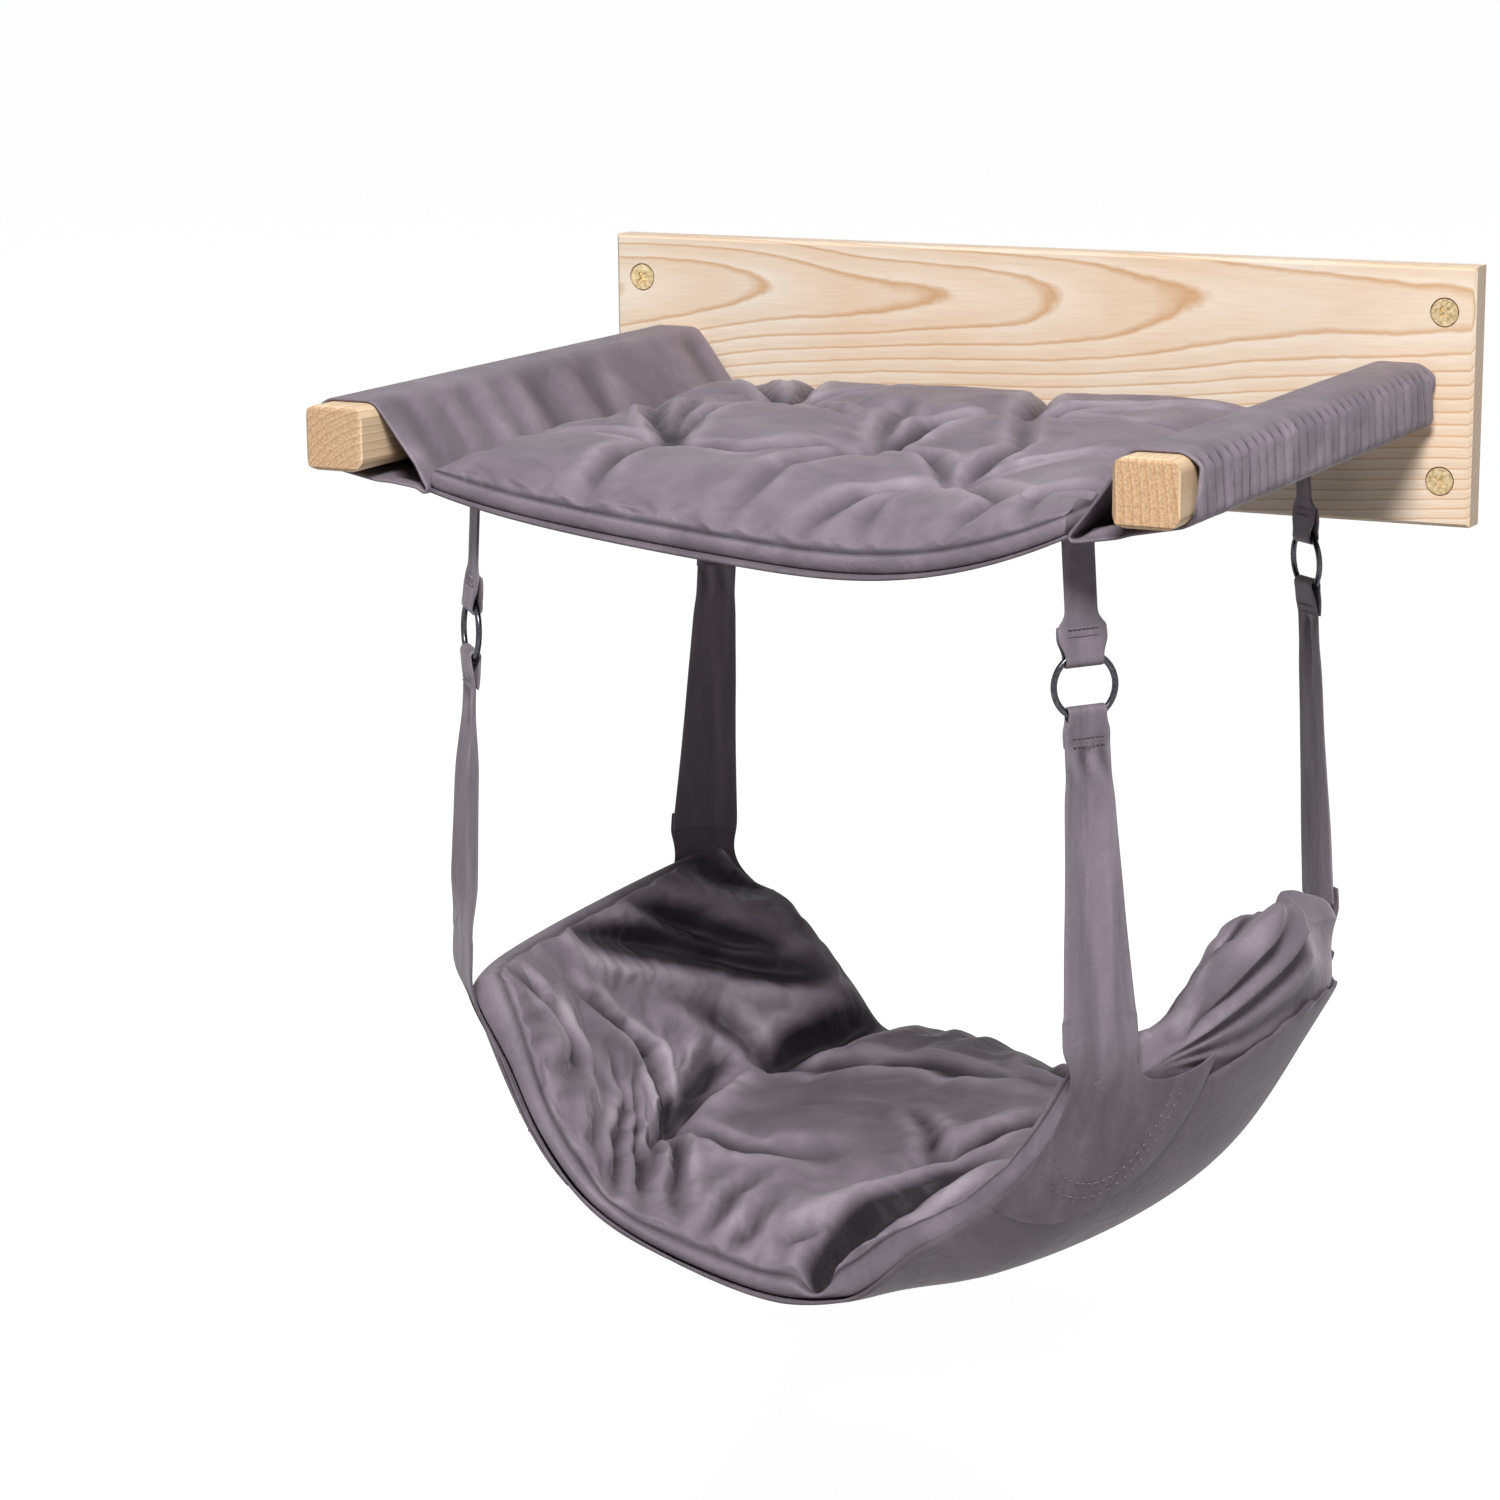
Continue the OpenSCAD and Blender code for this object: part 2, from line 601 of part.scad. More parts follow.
module front_left_upper_strap() { upper_strap(-1, true); }
module front_right_upper_strap() { upper_strap(1, true); }
module rear_left_upper_strap() { upper_strap(-1, false); }
module rear_right_upper_strap() { upper_strap(1, false); }
module front_left_ring() { ring(-1, true); }
module front_right_ring() { ring(1, true); }
module rear_left_ring() { ring(-1, false); }
module rear_right_ring() { ring(1, false); }
module front_left_lower_strap() { lower_strap(-1, true); }
module front_right_lower_strap() { lower_strap(1, true); }
module rear_left_lower_strap() { lower_strap(-1, false); }
module rear_right_lower_strap() { lower_strap(1, false); }
module front_left_strap_foot() { strap_foot(-1, true); }
module front_right_strap_foot() { strap_foot(1, true); }
module rear_left_strap_foot() { strap_foot(-1, false); }
module rear_right_strap_foot() { strap_foot(1, false); }

function lower_sling_grid(lift) =
    [for (t = steps(cradle_count_y)) [for (s = steps(cradle_count_x)) bed_offset(cradle_s(s, t), t, lift)]];
function lower_pad_grid(top) =
    [for (t = steps(pad_count_y)) [for (s = steps(pad_count_x)) lower_pad_point(s, t, top)]];

module lower_sling() {
    color(velvet_dark) cloth_solid(lower_sling_grid(cradle_cloth), lower_sling_grid(0));
}

module lower_pad() {
    color(velvet) cloth_solid(lower_pad_grid(true), lower_pad_grid(false));
}

module lower_tuft_knots() {
    color(velvet_dark)
        for (cell = lower_tuft_cells) {
            share = cell_share(cell);
            around = [for (step = ring_steps) cell_share(cell + [step[1], step[0]])];
            knot(lower_pad_point(share[0], share[1], true),
                 [for (near = around) lower_pad_point(near[0], near[1], true)],
                 bed_normal(share[0] * pad_share, share[1] * pad_share));
        }
}

wall_board();
left_arm();
right_arm();
wall_screws();
arm_screws();
upper_sling();
left_sleeve();
right_sleeve();
upper_pad();
upper_tuft_knots();
front_left_upper_strap();
front_right_upper_strap();
rear_left_upper_strap();
rear_right_upper_strap();
front_left_ring();
front_right_ring();
rear_left_ring();
rear_right_ring();
front_left_lower_strap();
front_right_lower_strap();
rear_left_lower_strap();
rear_right_lower_strap();
front_left_strap_foot();
front_right_strap_foot();
rear_left_strap_foot();
rear_right_strap_foot();
lower_sling();
lower_pad();
lower_tuft_knots();
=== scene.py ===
import bpy, bmesh, math
from mathutils import Matrix, Vector, noise


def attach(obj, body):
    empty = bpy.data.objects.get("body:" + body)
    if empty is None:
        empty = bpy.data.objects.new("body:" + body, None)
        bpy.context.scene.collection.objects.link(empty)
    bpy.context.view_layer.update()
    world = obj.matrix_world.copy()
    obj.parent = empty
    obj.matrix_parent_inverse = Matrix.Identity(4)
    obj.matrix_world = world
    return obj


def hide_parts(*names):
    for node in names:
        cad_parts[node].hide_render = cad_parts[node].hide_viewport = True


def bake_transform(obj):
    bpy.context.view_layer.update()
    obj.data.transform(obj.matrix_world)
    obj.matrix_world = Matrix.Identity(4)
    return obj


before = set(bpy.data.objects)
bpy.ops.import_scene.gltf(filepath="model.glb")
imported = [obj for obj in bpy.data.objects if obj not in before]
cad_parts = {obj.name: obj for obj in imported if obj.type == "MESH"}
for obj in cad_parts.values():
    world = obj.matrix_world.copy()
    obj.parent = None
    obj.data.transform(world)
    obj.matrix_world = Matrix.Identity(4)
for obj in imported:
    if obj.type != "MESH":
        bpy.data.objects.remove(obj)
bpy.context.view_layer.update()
scene = bpy.context.scene
MM = 0.001


# ---------------- materials
def linear(colour):
    """sRGB hex to the linear values that shaders take."""
    parts = [int(colour[i:i + 2], 16) / 255 for i in (1, 3, 5)]
    return [c / 12.92 if c <= 0.04045 else ((c + 0.055) / 1.055) ** 2.4 for c in parts] + [1.0]


def add_node(tree, kind, inputs=None, stops=None, **settings):
    """Adds a shader node, sets it up and links or sets its inputs."""
    made = tree.nodes.new("ShaderNode" + kind)
    for key, value in settings.items():
        setattr(made, key, value)
    if stops:
        ramp = made.color_ramp.elements
        while len(ramp) < len(stops):
            ramp.new(0.5)
        for element, (place, colour) in zip(ramp, stops):
            element.position = place
            element.color = linear(colour)
    for key, value in (inputs or {}).items():
        if isinstance(value, bpy.types.NodeSocket):
            tree.links.new(value, made.inputs[key])
        else:
            made.inputs[key].default_value = value
    return made


def new_material(name):
    made = bpy.data.materials.new(name)
    made.use_nodes = True
    made.node_tree.nodes.clear()
    return made, made.node_tree


# Where the arms' sawn ends begin and are full, in metres along Y
SAWN_END = (-0.4112, -0.4122)


def pine(name, pith, turn, ring_scale, pale, body, line, wandering, along="X", end_grain=0.0):
    """Sawn and sanded pine, clear matt: early wood in pale cream, thin darker late-wood lines that
    follow the growth rings round a wandering pith, so they close into flames on a flat face."""
    def drawn_out(with_grain, across):
        """The scale of a pattern along the grain and across it."""
        return (with_grain, across, across) if along == "X" else (across, with_grain, across)

    made, tree = new_material(name)
    place = add_node(tree, "TexCoord").outputs["Object"]
    laid = add_node(tree, "Mapping", {"Vector": place, "Location": pith, "Rotation": turn}).outputs[0]
    # The pith wanders slowly along the grain, over about 250 mm
    slow = add_node(tree, "Mapping", {"Vector": laid, "Scale": drawn_out(4.2, 9)})
    wander = add_node(tree, "TexNoise", {"Vector": slow.outputs[0], "Scale": 1.0, "Detail": 1.5})
    centred = add_node(tree, "VectorMath", {0: wander.outputs["Color"], 1: (0.5, 0.5, 0.5)},
                       operation="SUBTRACT")
    bent = add_node(tree, "VectorMath", {0: centred.outputs[0], "Scale": wandering}, operation="SCALE")
    grain = add_node(tree, "VectorMath", {0: laid, 1: bent.outputs[0]}, operation="ADD")
    rings = add_node(tree, "TexWave", {"Vector": grain.outputs[0], "Scale": ring_scale,
                     "Distortion": 0.5, "Detail": 2.0, "Detail Scale": 1.4}, wave_type="RINGS",
                     rings_direction=along, wave_profile="SAW")
    tone = add_node(tree, "ValToRGB", {"Fac": rings.outputs["Fac"]}, stops=[
        (0.0, pale), (0.42, body), (0.74, body), (0.9, line), (1.0, pale)])
    # Fibres about 0.4 mm wide run along the grain
    fine = add_node(tree, "Mapping", {"Vector": laid, "Scale": drawn_out(9, 900)})
    fibre = add_node(tree, "TexNoise", {"Vector": fine.outputs[0], "Scale": 1.0, "Detail": 3.0})
    streak = add_node(tree, "ValToRGB", {"Fac": fibre.outputs["Fac"]}, stops=[
        (0.3, "#e6d9c8"), (0.65, "#ffffff")])
    wood = add_node(tree, "Mix", {"Factor": 0.3, "A": tone.outputs[0], "B": streak.outputs[0]},
                    data_type="RGBA", blend_type="MULTIPLY")
    # Broad warm and cool clouds of the plank, 80 mm
    broad = add_node(tree, "TexNoise", {"Vector": laid, "Scale": 12.0, "Detail": 1.0})
    warm = add_node(tree, "ValToRGB", {"Fac": broad.outputs["Fac"]}, stops=[
        (0.35, "#fbe9d6"), (0.65, "#ffffff")])
    colour = add_node(tree, "Mix", {"Factor": 0.5, "A": wood.outputs["Result"],
                      "B": warm.outputs[0]}, data_type="RGBA", blend_type="MULTIPLY")
    # Sawn ends drink the finish: they are darker, with fine specks of open pores
    apart = add_node(tree, "SeparateXYZ", {"Vector": place})
    sawn = add_node(tree, "MapRange", {"Value": apart.outputs["Y"], "From Min": SAWN_END[0],
                    "From Max": SAWN_END[1], "To Max": end_grain})
    pores = add_node(tree, "TexNoise", {"Vector": place, "Scale": 700.0, "Detail": 2.0})
    specks = add_node(tree, "ValToRGB", {"Fac": pores.outputs["Fac"]}, stops=[
        (0.35, "#c0b0a4"), (0.6, "#e4dad2")])
    colour = add_node(tree, "Mix", {"Factor": sawn.outputs[0], "A": colour.outputs["Result"],
                      "B": specks.outputs[0]}, data_type="RGBA", blend_type="MULTIPLY")
    relief = add_node(tree, "Bump", {"Height": fibre.outputs["Fac"], "Strength": 0.06, "Distance": 0.0004})
    shader = add_node(tree, "BsdfPrincipled", {"Base Color": colour.outputs["Result"],
                      "Roughness": 0.52, "IOR": 1.45, "Normal": relief.outputs[0]})
    add_node(tree, "OutputMaterial", {"Surface": shader.outputs[0]})
    return made


def velvet(name, deep, body, lit, ripple=0.35, strokes=(30, 26, 26)):
    """Short-pile polyester velvet, brushed: soft sheen at grazing angles, pale and dark patches
    where the pile has been stroked both ways, and a faint crushed texture of the pile itself."""
    made, tree = new_material(name)
    place = add_node(tree, "TexCoord").outputs["Object"]
    # Stroked patches, 25 to 60 mm across
    stroked = add_node(tree, "Mapping", {"Vector": place, "Scale": strokes})
    patch = add_node(tree, "TexNoise", {"Vector": stroked.outputs[0], "Scale": 1.0, "Detail": 3.0,
                     "Roughness": 0.55, "Distortion": 0.6})
    tone = add_node(tree, "ValToRGB", {"Fac": patch.outputs["Fac"]}, stops=[
        (0.25, deep), (0.5, body), (0.78, lit)])
    # Pile, drawn at 0.8 mm: the real one is finer than the picture can show
    pile = add_node(tree, "TexNoise", {"Vector": place, "Scale": 1250.0, "Detail": 2.0})
    speck = add_node(tree, "ValToRGB", {"Fac": pile.outputs["Fac"]}, stops=[
        (0.3, "#dcd8dc"), (0.7, "#ffffff")])
    napped = add_node(tree, "Mix", {"Factor": 0.5, "A": tone.outputs[0], "B": speck.outputs[0]},
                      data_type="RGBA", blend_type="MULTIPLY")
    # Painted shade and painted sheen from the mesh's attribute: at 1, down in a fold, the velvet is painted
    # darker, and at -1, on the back beside a fold, it is painted lighter
    painted_shade_and_sheen = add_node(tree, "Attribute", attribute_name="painted_shade_and_sheen")
    side = add_node(tree, "MapRange", {"Value": painted_shade_and_sheen.outputs["Fac"], "From Min": -1.0})
    shade = add_node(tree, "ValToRGB", {"Fac": side.outputs[0]}, stops=[
        (0.0, "#ffffff"), (0.25, "#e4e1e4"), (0.5, "#c4c0c4"), (0.72, "#969196"), (0.9, "#605b61"),
        (1.0, "#3c383d")])
    colour = add_node(tree, "Mix", {"Factor": 1.0, "A": napped.outputs["Result"],
                      "B": shade.outputs[0]}, data_type="RGBA", blend_type="MULTIPLY")
    # Small soft creases, 6 to 12 mm apart
    crease = add_node(tree, "TexNoise", {"Vector": place, "Scale": 85.0, "Detail": 2.0, "Distortion": 0.8})
    height = add_node(tree, "Mix", {"Factor": 0.12, "A": crease.outputs["Fac"],
                      "B": pile.outputs["Fac"]}, data_type="FLOAT")
    relief = add_node(tree, "Bump", {"Height": height.outputs["Result"], "Strength": ripple,
                      "Distance": 0.003})
    shader = add_node(tree, "BsdfPrincipled", {"Base Color": colour.outputs["Result"],
                      "Roughness": 0.56, "IOR": 1.45, "Normal": relief.outputs[0],
                      "Specular IOR Level": 0.35, "Sheen Weight": 0.28, "Sheen Roughness": 0.35,
                      "Sheen Tint": linear("#d6cfd7")})
    add_node(tree, "OutputMaterial", {"Surface": shader.outputs[0]})
    return made


def plain_metal(name, dark, light, rough, scale, wear):
    """Drawn or turned metal with a thin finish: fine marks of its making, rubbed paler in places."""
    made, tree = new_material(name)
    place = add_node(tree, "TexCoord").outputs["Object"]
    marks = add_node(tree, "TexNoise", {"Vector": place, "Scale": scale, "Detail": 3.0})
    tone = add_node(tree, "ValToRGB", {"Fac": marks.outputs["Fac"]}, stops=[
        (0.35, dark), (0.7, light)])
    gloss = add_node(tree, "MapRange", {"Value": marks.outputs["Fac"], "To Min": rough,
                     "To Max": rough + wear})
    relief = add_node(tree, "Bump", {"Height": marks.outputs["Fac"], "Strength": 0.05, "Distance": 0.0002})
    shader = add_node(tree, "BsdfPrincipled", {"Base Color": tone.outputs[0], "Metallic": 1.0,
                      "Roughness": gloss.outputs[0], "Normal": relief.outputs[0]})
    add_node(tree, "OutputMaterial", {"Surface": shader.outputs[0]})
    return made


board_wood = pine("sawn_pine_board", (0.1, 0.062, -0.045), (0.0, 0.03, 0.05), 60.0,
                  "#ebdecf", "#e5d3bf", "#d0ab85", 0.018)
arm_wood = pine("planed_pine_arm", (0.19, 0.0, 0.07), (0.03, 0.0, 0.02), 70.0,
                "#ead2b5", "#e1c6a4", "#cfa981", 0.02, "Y", 0.85)
velvet_cloth = velvet("brushed_velvet", "#8a828a", "#9f969e", "#b5acb3")
# The slings' outer cloth is the same velvet painted darker: painted shade of the cloth under the pads
shaded_under_cloth = velvet("velvet_underside_painted_shade", "#756d75", "#877e85", "#9a9098")
strap_cloth = velvet("velvet_strap", "#837b83", "#9f969e", "#bab1b8", 0.3, (75, 75, 7))
sewing_thread = velvet("polyester_thread", "#8a828a", "#9f969e", "#b0a7ae", 0.1)
ring_metal = plain_metal("gunmetal_plated_steel_wire", "#3a3a3f", "#55555b", 0.2, 700.0, 0.12)
screw_metal = plain_metal("yellow_zinc_screw_steel", "#bda274", "#ead8b2", 0.38, 500.0, 0.2)

# Each corner of the bed: its side, and whether it is a front corner
CORNERS = {"front_left": (-1, True), "front_right": (1, True),
           "rear_left": (-1, False), "rear_right": (1, False)}

finishes = {"wall_board": board_wood, "left_arm": arm_wood, "right_arm": arm_wood,
            "wall_screws": screw_metal, "arm_screws": screw_metal}
finishes.update({corner + "_ring": ring_metal for corner in CORNERS})
for node_name, finish in finishes.items():
    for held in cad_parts[node_name].material_slots:
        held.material = finish


# ---------------- tools for cloth
def finish_mesh(name, bm, material):
    """Turns millimetres to metres, makes the faces point outwards and links the piece to the scene."""
    bmesh.ops.recalc_face_normals(bm, faces=bm.faces)
    bmesh.ops.scale(bm, vec=(MM, MM, MM), verts=bm.verts)
    data = bpy.data.meshes.new(name)
    bm.to_mesh(data)
    bm.free()
    data.materials.append(material)
    data.shade_smooth()
    made = bpy.data.objects.new(name, data)
    scene.collection.objects.link(made)
    return made


def smooth_step(low, high, value):
    share = min(1.0, max(0.0, (value - low) / (high - low)))
    return share * share * (3 - 2 * share)


def bump(value, middle, width):
    """1 at the middle, dying out on both sides over the width."""
    return math.exp(-((value - middle) / width) ** 2)


def crown(s):
    """How full a pad is, from its middle to its sewn edge."""
    return math.sqrt(max(0.0, 1 - abs(s) ** 3.2))


EASE = math.pi * 0.44


def eased(s):
    """Puts more rows near the sewn edges, where the pad turns over."""
    return math.sin(s * EASE) / math.sin(EASE)


def on_edge(share):
    """Whether a share of a net or of a height is its last row."""
    return abs(share) > 0.999


def pad_blank(columns, rows, levels):
    """A flat closed slab from -1 to 1 each way and 0 to 1 in height, cut into an even net."""
    bm = bmesh.new()
    bmesh.ops.create_grid(bm, x_segments=columns, y_segments=rows, size=1)
    raised = bmesh.ops.extrude_face_region(bm, geom=bm.faces[:])
    bmesh.ops.translate(bm, vec=(0, 0, 1),
                        verts=[v for v in raised["geom"] if isinstance(v, bmesh.types.BMVert)])
    upright = [e for e in bm.edges if abs(e.verts[0].co.z - e.verts[1].co.z) > 0.5]
    bmesh.ops.subdivide_edges(bm, edges=upright, cuts=levels - 1, use_grid_fill=True)
    return bm


def fold_lines(folds, place):
    """Folds given as lines in space: each has a depth and a width in mm and the points it runs
    through, from its deep end to where it dies out."""
    return [(deep, wide, [place(*point) for point in points]) for deep, wide, points in folds]


def folds_at(point, lines):
    """The folds at a point, as the depth of their valleys and the height of the backs beside them. Each
    fold starts shallow, deepens and dies out at its end, and where folds meet the deepest one shows."""
    deep = back = 0.0
    for depth, width, path in lines:
        nearest, where = 1e9, 0.0
        for k, (start, end) in enumerate(zip(path, path[1:])):
            run = end - start
            share = min(1.0, max(0.0, (point - start).dot(run) / run.length_squared))
            away = (point - start - run * share).length
            if away < nearest:
                nearest, where = away, (k + share) / (len(path) - 1)
        if nearest < 4 * width:
            level = depth * (1 - where ** 3) * (0.4 + 0.6 * min(1.0, where * 5))
            deep += (level * math.exp(-(nearest / width) ** 1.3)) ** 3
            back += (min(level, 9) * bump(nearest, 1.9 * width, 0.9 * width)) ** 3
    deep, back = deep ** (1 / 3), back ** (1 / 3)
    return deep, 0.5 * back * math.exp(-deep / 5)


def crumple(point, share):
    """Slow swells of a soft cover between its folds, 50 to 100 mm apart."""
    wave = abs(noise.noise(point * 0.013)) + 0.35 * abs(noise.noise(point * 0.034 + Vector((7, 3, 5))))
    return share * 8 * (wave - 0.25)


def tuft_depth(point, tufts, spread, level=False):
    """How near a point is to a tuft, 1 at its stitch, with five soft rays round it. A level tuft draws
    the cloth in along the floor, and height doesn't count."""
    deepest = 0.0
    for tuft in tufts:
        away = point - tuft
        if level:
            away.z = 0
        d = away.length / spread
        angle = math.atan2(away.y, away.x)
        deepest = max(deepest, math.exp(-d) * (1 + 0.22 * math.cos(5 * angle + tuft.x) * min(1, d)))
    return deepest


FILL_FRAMES = 22


def sew_pads(pads):
    """Fills the pads: the cloth is a little larger than its shape and is blown up against its sewn
    edges and tufts, which pulls it into folds. The move of each point is capped, in metres."""
    starts = []
    for piece, held, cap in pads:
        starts.append([v.co.copy() for v in piece.data.vertices])
        group = piece.vertex_groups.new(name="sewn")
        for index, weight in held.items():
            group.add([index], weight, "REPLACE")
        cloth = piece.modifiers.new("fill", "CLOTH")
        cloth.settings.quality = 6
        cloth.settings.mass = 0.25
        cloth.settings.tension_stiffness = 18
        cloth.settings.compression_stiffness = 18
        cloth.settings.shear_stiffness = 6
        cloth.settings.bending_stiffness = 1.0
        cloth.settings.shrink_min = -0.03
        cloth.settings.use_pressure = True
        cloth.settings.uniform_pressure_force = 2.5
        cloth.settings.vertex_group_mass = "sewn"
        cloth.settings.effector_weights.gravity = 0
        cloth.collision_settings.use_collision = False
        cloth.collision_settings.use_self_collision = False
        cloth.point_cache.frame_start = 1
        cloth.point_cache.frame_end = FILL_FRAMES + 2
    for step in range(1, FILL_FRAMES + 1):
        scene.frame_set(step)
    graph = bpy.context.evaluated_depsgraph_get()
    for (piece, _, cap), start in zip(pads, starts):
        places = [v.co.copy() for v in piece.evaluated_get(graph).data.vertices]
        piece.modifiers.clear()
        for vertex, first, place in zip(piece.data.vertices, start, places):
            move = place - first
            if move.length > cap:
                move *= cap / move.length
            vertex.co = first + move
        piece.vertex_groups.clear()
        piece.data.update()
    scene.frame_set(1)


def rounded(piece):
    made = piece.modifiers.new("round", "SUBSURF")
    made.levels = made.render_levels = 1
    return piece


def thicken(piece, thickness):
    made = piece.modifiers.new("cloth", "SOLIDIFY")
    made.thickness = thickness * MM
    made.offset = 0
    return piece


def make_pad(name, columns, rows, place, tufts):
    """A pad's cover from its net, and how firmly each of its points is sewn down: the floor, the
    boxed side, the folds and a small round of cloth at each tuft stay put, the rest is blown up."""
    bm = pad_blank(columns, rows, 5)
    painted_shade_and_sheen = bm.verts.layers.float.new("painted_shade_and_sheen")
    held = {}
    for vertex in bm.verts:
        s, t, h = vertex.co
        vertex.co, vertex[painted_shade_and_sheen] = place(s, t, h)
        near = min((vertex.co - tuft).length for tuft in tufts)
        if not on_edge(h) or on_edge(s) or on_edge(t):
            held[vertex.index] = 1.0
        else:
            held[vertex.index] = max(1 - smooth_step(4, 12, near),
                                     0.8 * smooth_step(0.2, 0.9, vertex[painted_shade_and_sheen]))
    return finish_mesh(name, bm, velvet_cloth), held


def top_of(place, share):
    """The place on top of a pad for a share of its floor; the net's rows are eased, so it is turned back."""
    return place(*(math.asin(a * math.sin(EASE)) / EASE for a in share), 1.0)[0]


# ---------------- upper hammock
SLING_HALF, SLING_MIDDLE, SLING_REACH = 183.5, -214.5, 180.5
SLING_FRONT = SLING_MIDDLE - SLING_REACH
SLING_RIM = -28
SAG_FRONT, SAG_REAR = 27, 6


def sling_under(x, y):
    """The height of the upper sling's under side."""
    deep = SAG_FRONT + (SAG_REAR - SAG_FRONT) * (y - SLING_FRONT) / (2 * SLING_REACH)
    across = x / SLING_HALF
    # The front edge hangs a little lower on the right
    askew = 5 * math.sin(math.pi * max(-1.0, min(1.0, across))) * smooth_step(-120, SLING_FRONT, y)
    return SLING_RIM - askew - deep * (1 - min(1.0, abs(across)) ** 2.6)


def upper_floor(s, t):
    """The upper pad's floor, whose sides are drawn in by 5 mm half way along."""
    x = s * (SLING_HALF - 2 - 5 * (1 - t * t))
    y = SLING_MIDDLE + t * (SLING_REACH - 2 - 5 * (1 - s * s))
    return Vector((x, y, sling_under(x, y) + 2.4))


UPPER_TUFT_SHARES = [(a / 13, b / 10) for a, b in ((-7, -4), (-7, 4), (1, -2), (6, -5), (4, 4))]
UPPER_TUFTS = [upper_floor(s, t) for s, t in UPPER_TUFT_SHARES]
# Folds of the upper pad, points in mm from the middle of the wall board
UPPER_FOLDS = fold_lines([
    # From the left front tuft
    (11, 6, [(-95, -284), (-135, -228), (-176, -150)]), (9, 5, [(-95, -284), (-122, -225), (-140, -170)]),
    (8, 6, [(-95, -284), (-112, -215), (-95, -144)]), (6, 6, [(-95, -284), (-98, -340), (-92, -393)]),
    (6, 5, [(-95, -284), (-50, -300), (14, -250)]), (7, 5, [(-95, -284), (-140, -300), (-172, -300)]),
    # From the left rear tuft
    (10, 6, [(-95, -144), (-140, -90), (-172, -45)]), (9, 6, [(-95, -144), (-110, -85), (-120, -40)]),
    (8, 5, [(-95, -144), (-70, -154), (-25, -205)]), (6, 6, [(-95, -144), (-60, -100), (-30, -42)]),
    # From the middle tuft
    (10, 6, [(14, -250), (20, -195), (55, -143)]), (6, 5, [(14, -250), (-6, -192), (-13, -141)]),
    (4, 6, [(14, -250), (-8, -320), (-14, -393)]), (8, 5, [(14, -250), (50, -262), (83, -303)]),
    # From the right front tuft
    (7, 6, [(83, -303), (48, -340), (30, -393)]), (4, 5, [(83, -303), (62, -350), (64, -393)]),
    (6, 6, [(83, -303), (128, -345), (112, -393)]), (8, 5, [(83, -303), (130, -262), (176, -240)]),
    # From the right rear tuft and the right edge
    (6, 5, [(83, -303), (90, -230), (55, -143)]), (12, 6, [(55, -143), (100, -105), (172, -78)]),
    (8, 6, [(55, -143), (35, -60), (40, -38)]), (6, 5, [(176, -330), (150, -350), (158, -393)]),
    (6, 5, [(55, -143), (120, -165), (176, -170)])],
    lambda x, y: Vector((x, y, 0)))
# The boxed side, the crown, and how far a stitch draws the cloth in, close by and in a wide dish, in mm
UPPER_BAND, UPPER_CROWN, UPPER_STITCH, UPPER_DISH = 10.5, 25, 15, 4


def upper_pad_place(s, t, h):
    """A place on the upper pad: h runs from its floor up through the boxed side to the quilted top."""
    s, t = eased(s), eased(t)
    floor = upper_floor(s, t)
    inside = crown(s) * crown(t)
    edge_s, edge_t = s if on_edge(s) else 0, t if on_edge(t) else 0
    lift, painted_shade_and_sheen = UPPER_BAND * h, 0.0
    if on_edge(h):
        lift += inside * (UPPER_CROWN - UPPER_STITCH * tuft_depth(floor, UPPER_TUFTS, 13, True)
                          - UPPER_DISH * tuft_depth(floor, UPPER_TUFTS, 32, True))
        deep, back = folds_at(Vector((floor.x, floor.y, 0)), UPPER_FOLDS)
        share = min(1.0, 0.35 + inside)
        lift = max(lift + (back - deep) * share, 1.5)
        # Painted shade in the folds and round the tufts, and painted sheen on the backs beside the folds
        painted_shade_and_sheen = (deep / 8 - back / 4) * share + 0.6 * tuft_depth(floor, UPPER_TUFTS, 9, True)
    elif h > 0:
        # The boxed side is a little round
        out = 1.6 * math.sin(math.pi * h)
        floor.x += out * edge_s
        floor.y += out * edge_t
    floor.z += lift
    if on_edge(h):
        # Long soft waves of the loose cloth
        floor.z += 0.5 * crumple(floor, inside)
        if edge_s or edge_t:
            # The seam between top and side is drawn in, with painted shade along it
            floor -= Vector((edge_s, edge_t, 0.4)) * 1.5
            painted_shade_and_sheen = 0.75
    return floor, painted_shade_and_sheen


UPPER_KNOTS = [top_of(upper_pad_place, share) for share in UPPER_TUFT_SHARES]
upper_pad, upper_held = make_pad("upper_pad_cover", 150, 130, upper_pad_place, UPPER_KNOTS)

# ---------------- lower bed
BED_MIDDLE, BED_REACH = -204, 169
# The bed's cloth wraps over this half angle from rim to keel
WRAP = math.radians(72)
RIM_HALF, RIM_LEVEL = 210.33, -311.069
TROUGH_DEPTH, CORNER_CUT = 135.5, 14.06
WALL_SWELL, KEEL_SHIFT, HANG_TILT, SIDE_RISE = 35, 12, 32, 28
PAD_SHARE = 0.985
LOWER_BAND, LOWER_CROWN, LOWER_STITCH, LOWER_DISH = 12, 29, 14, 6


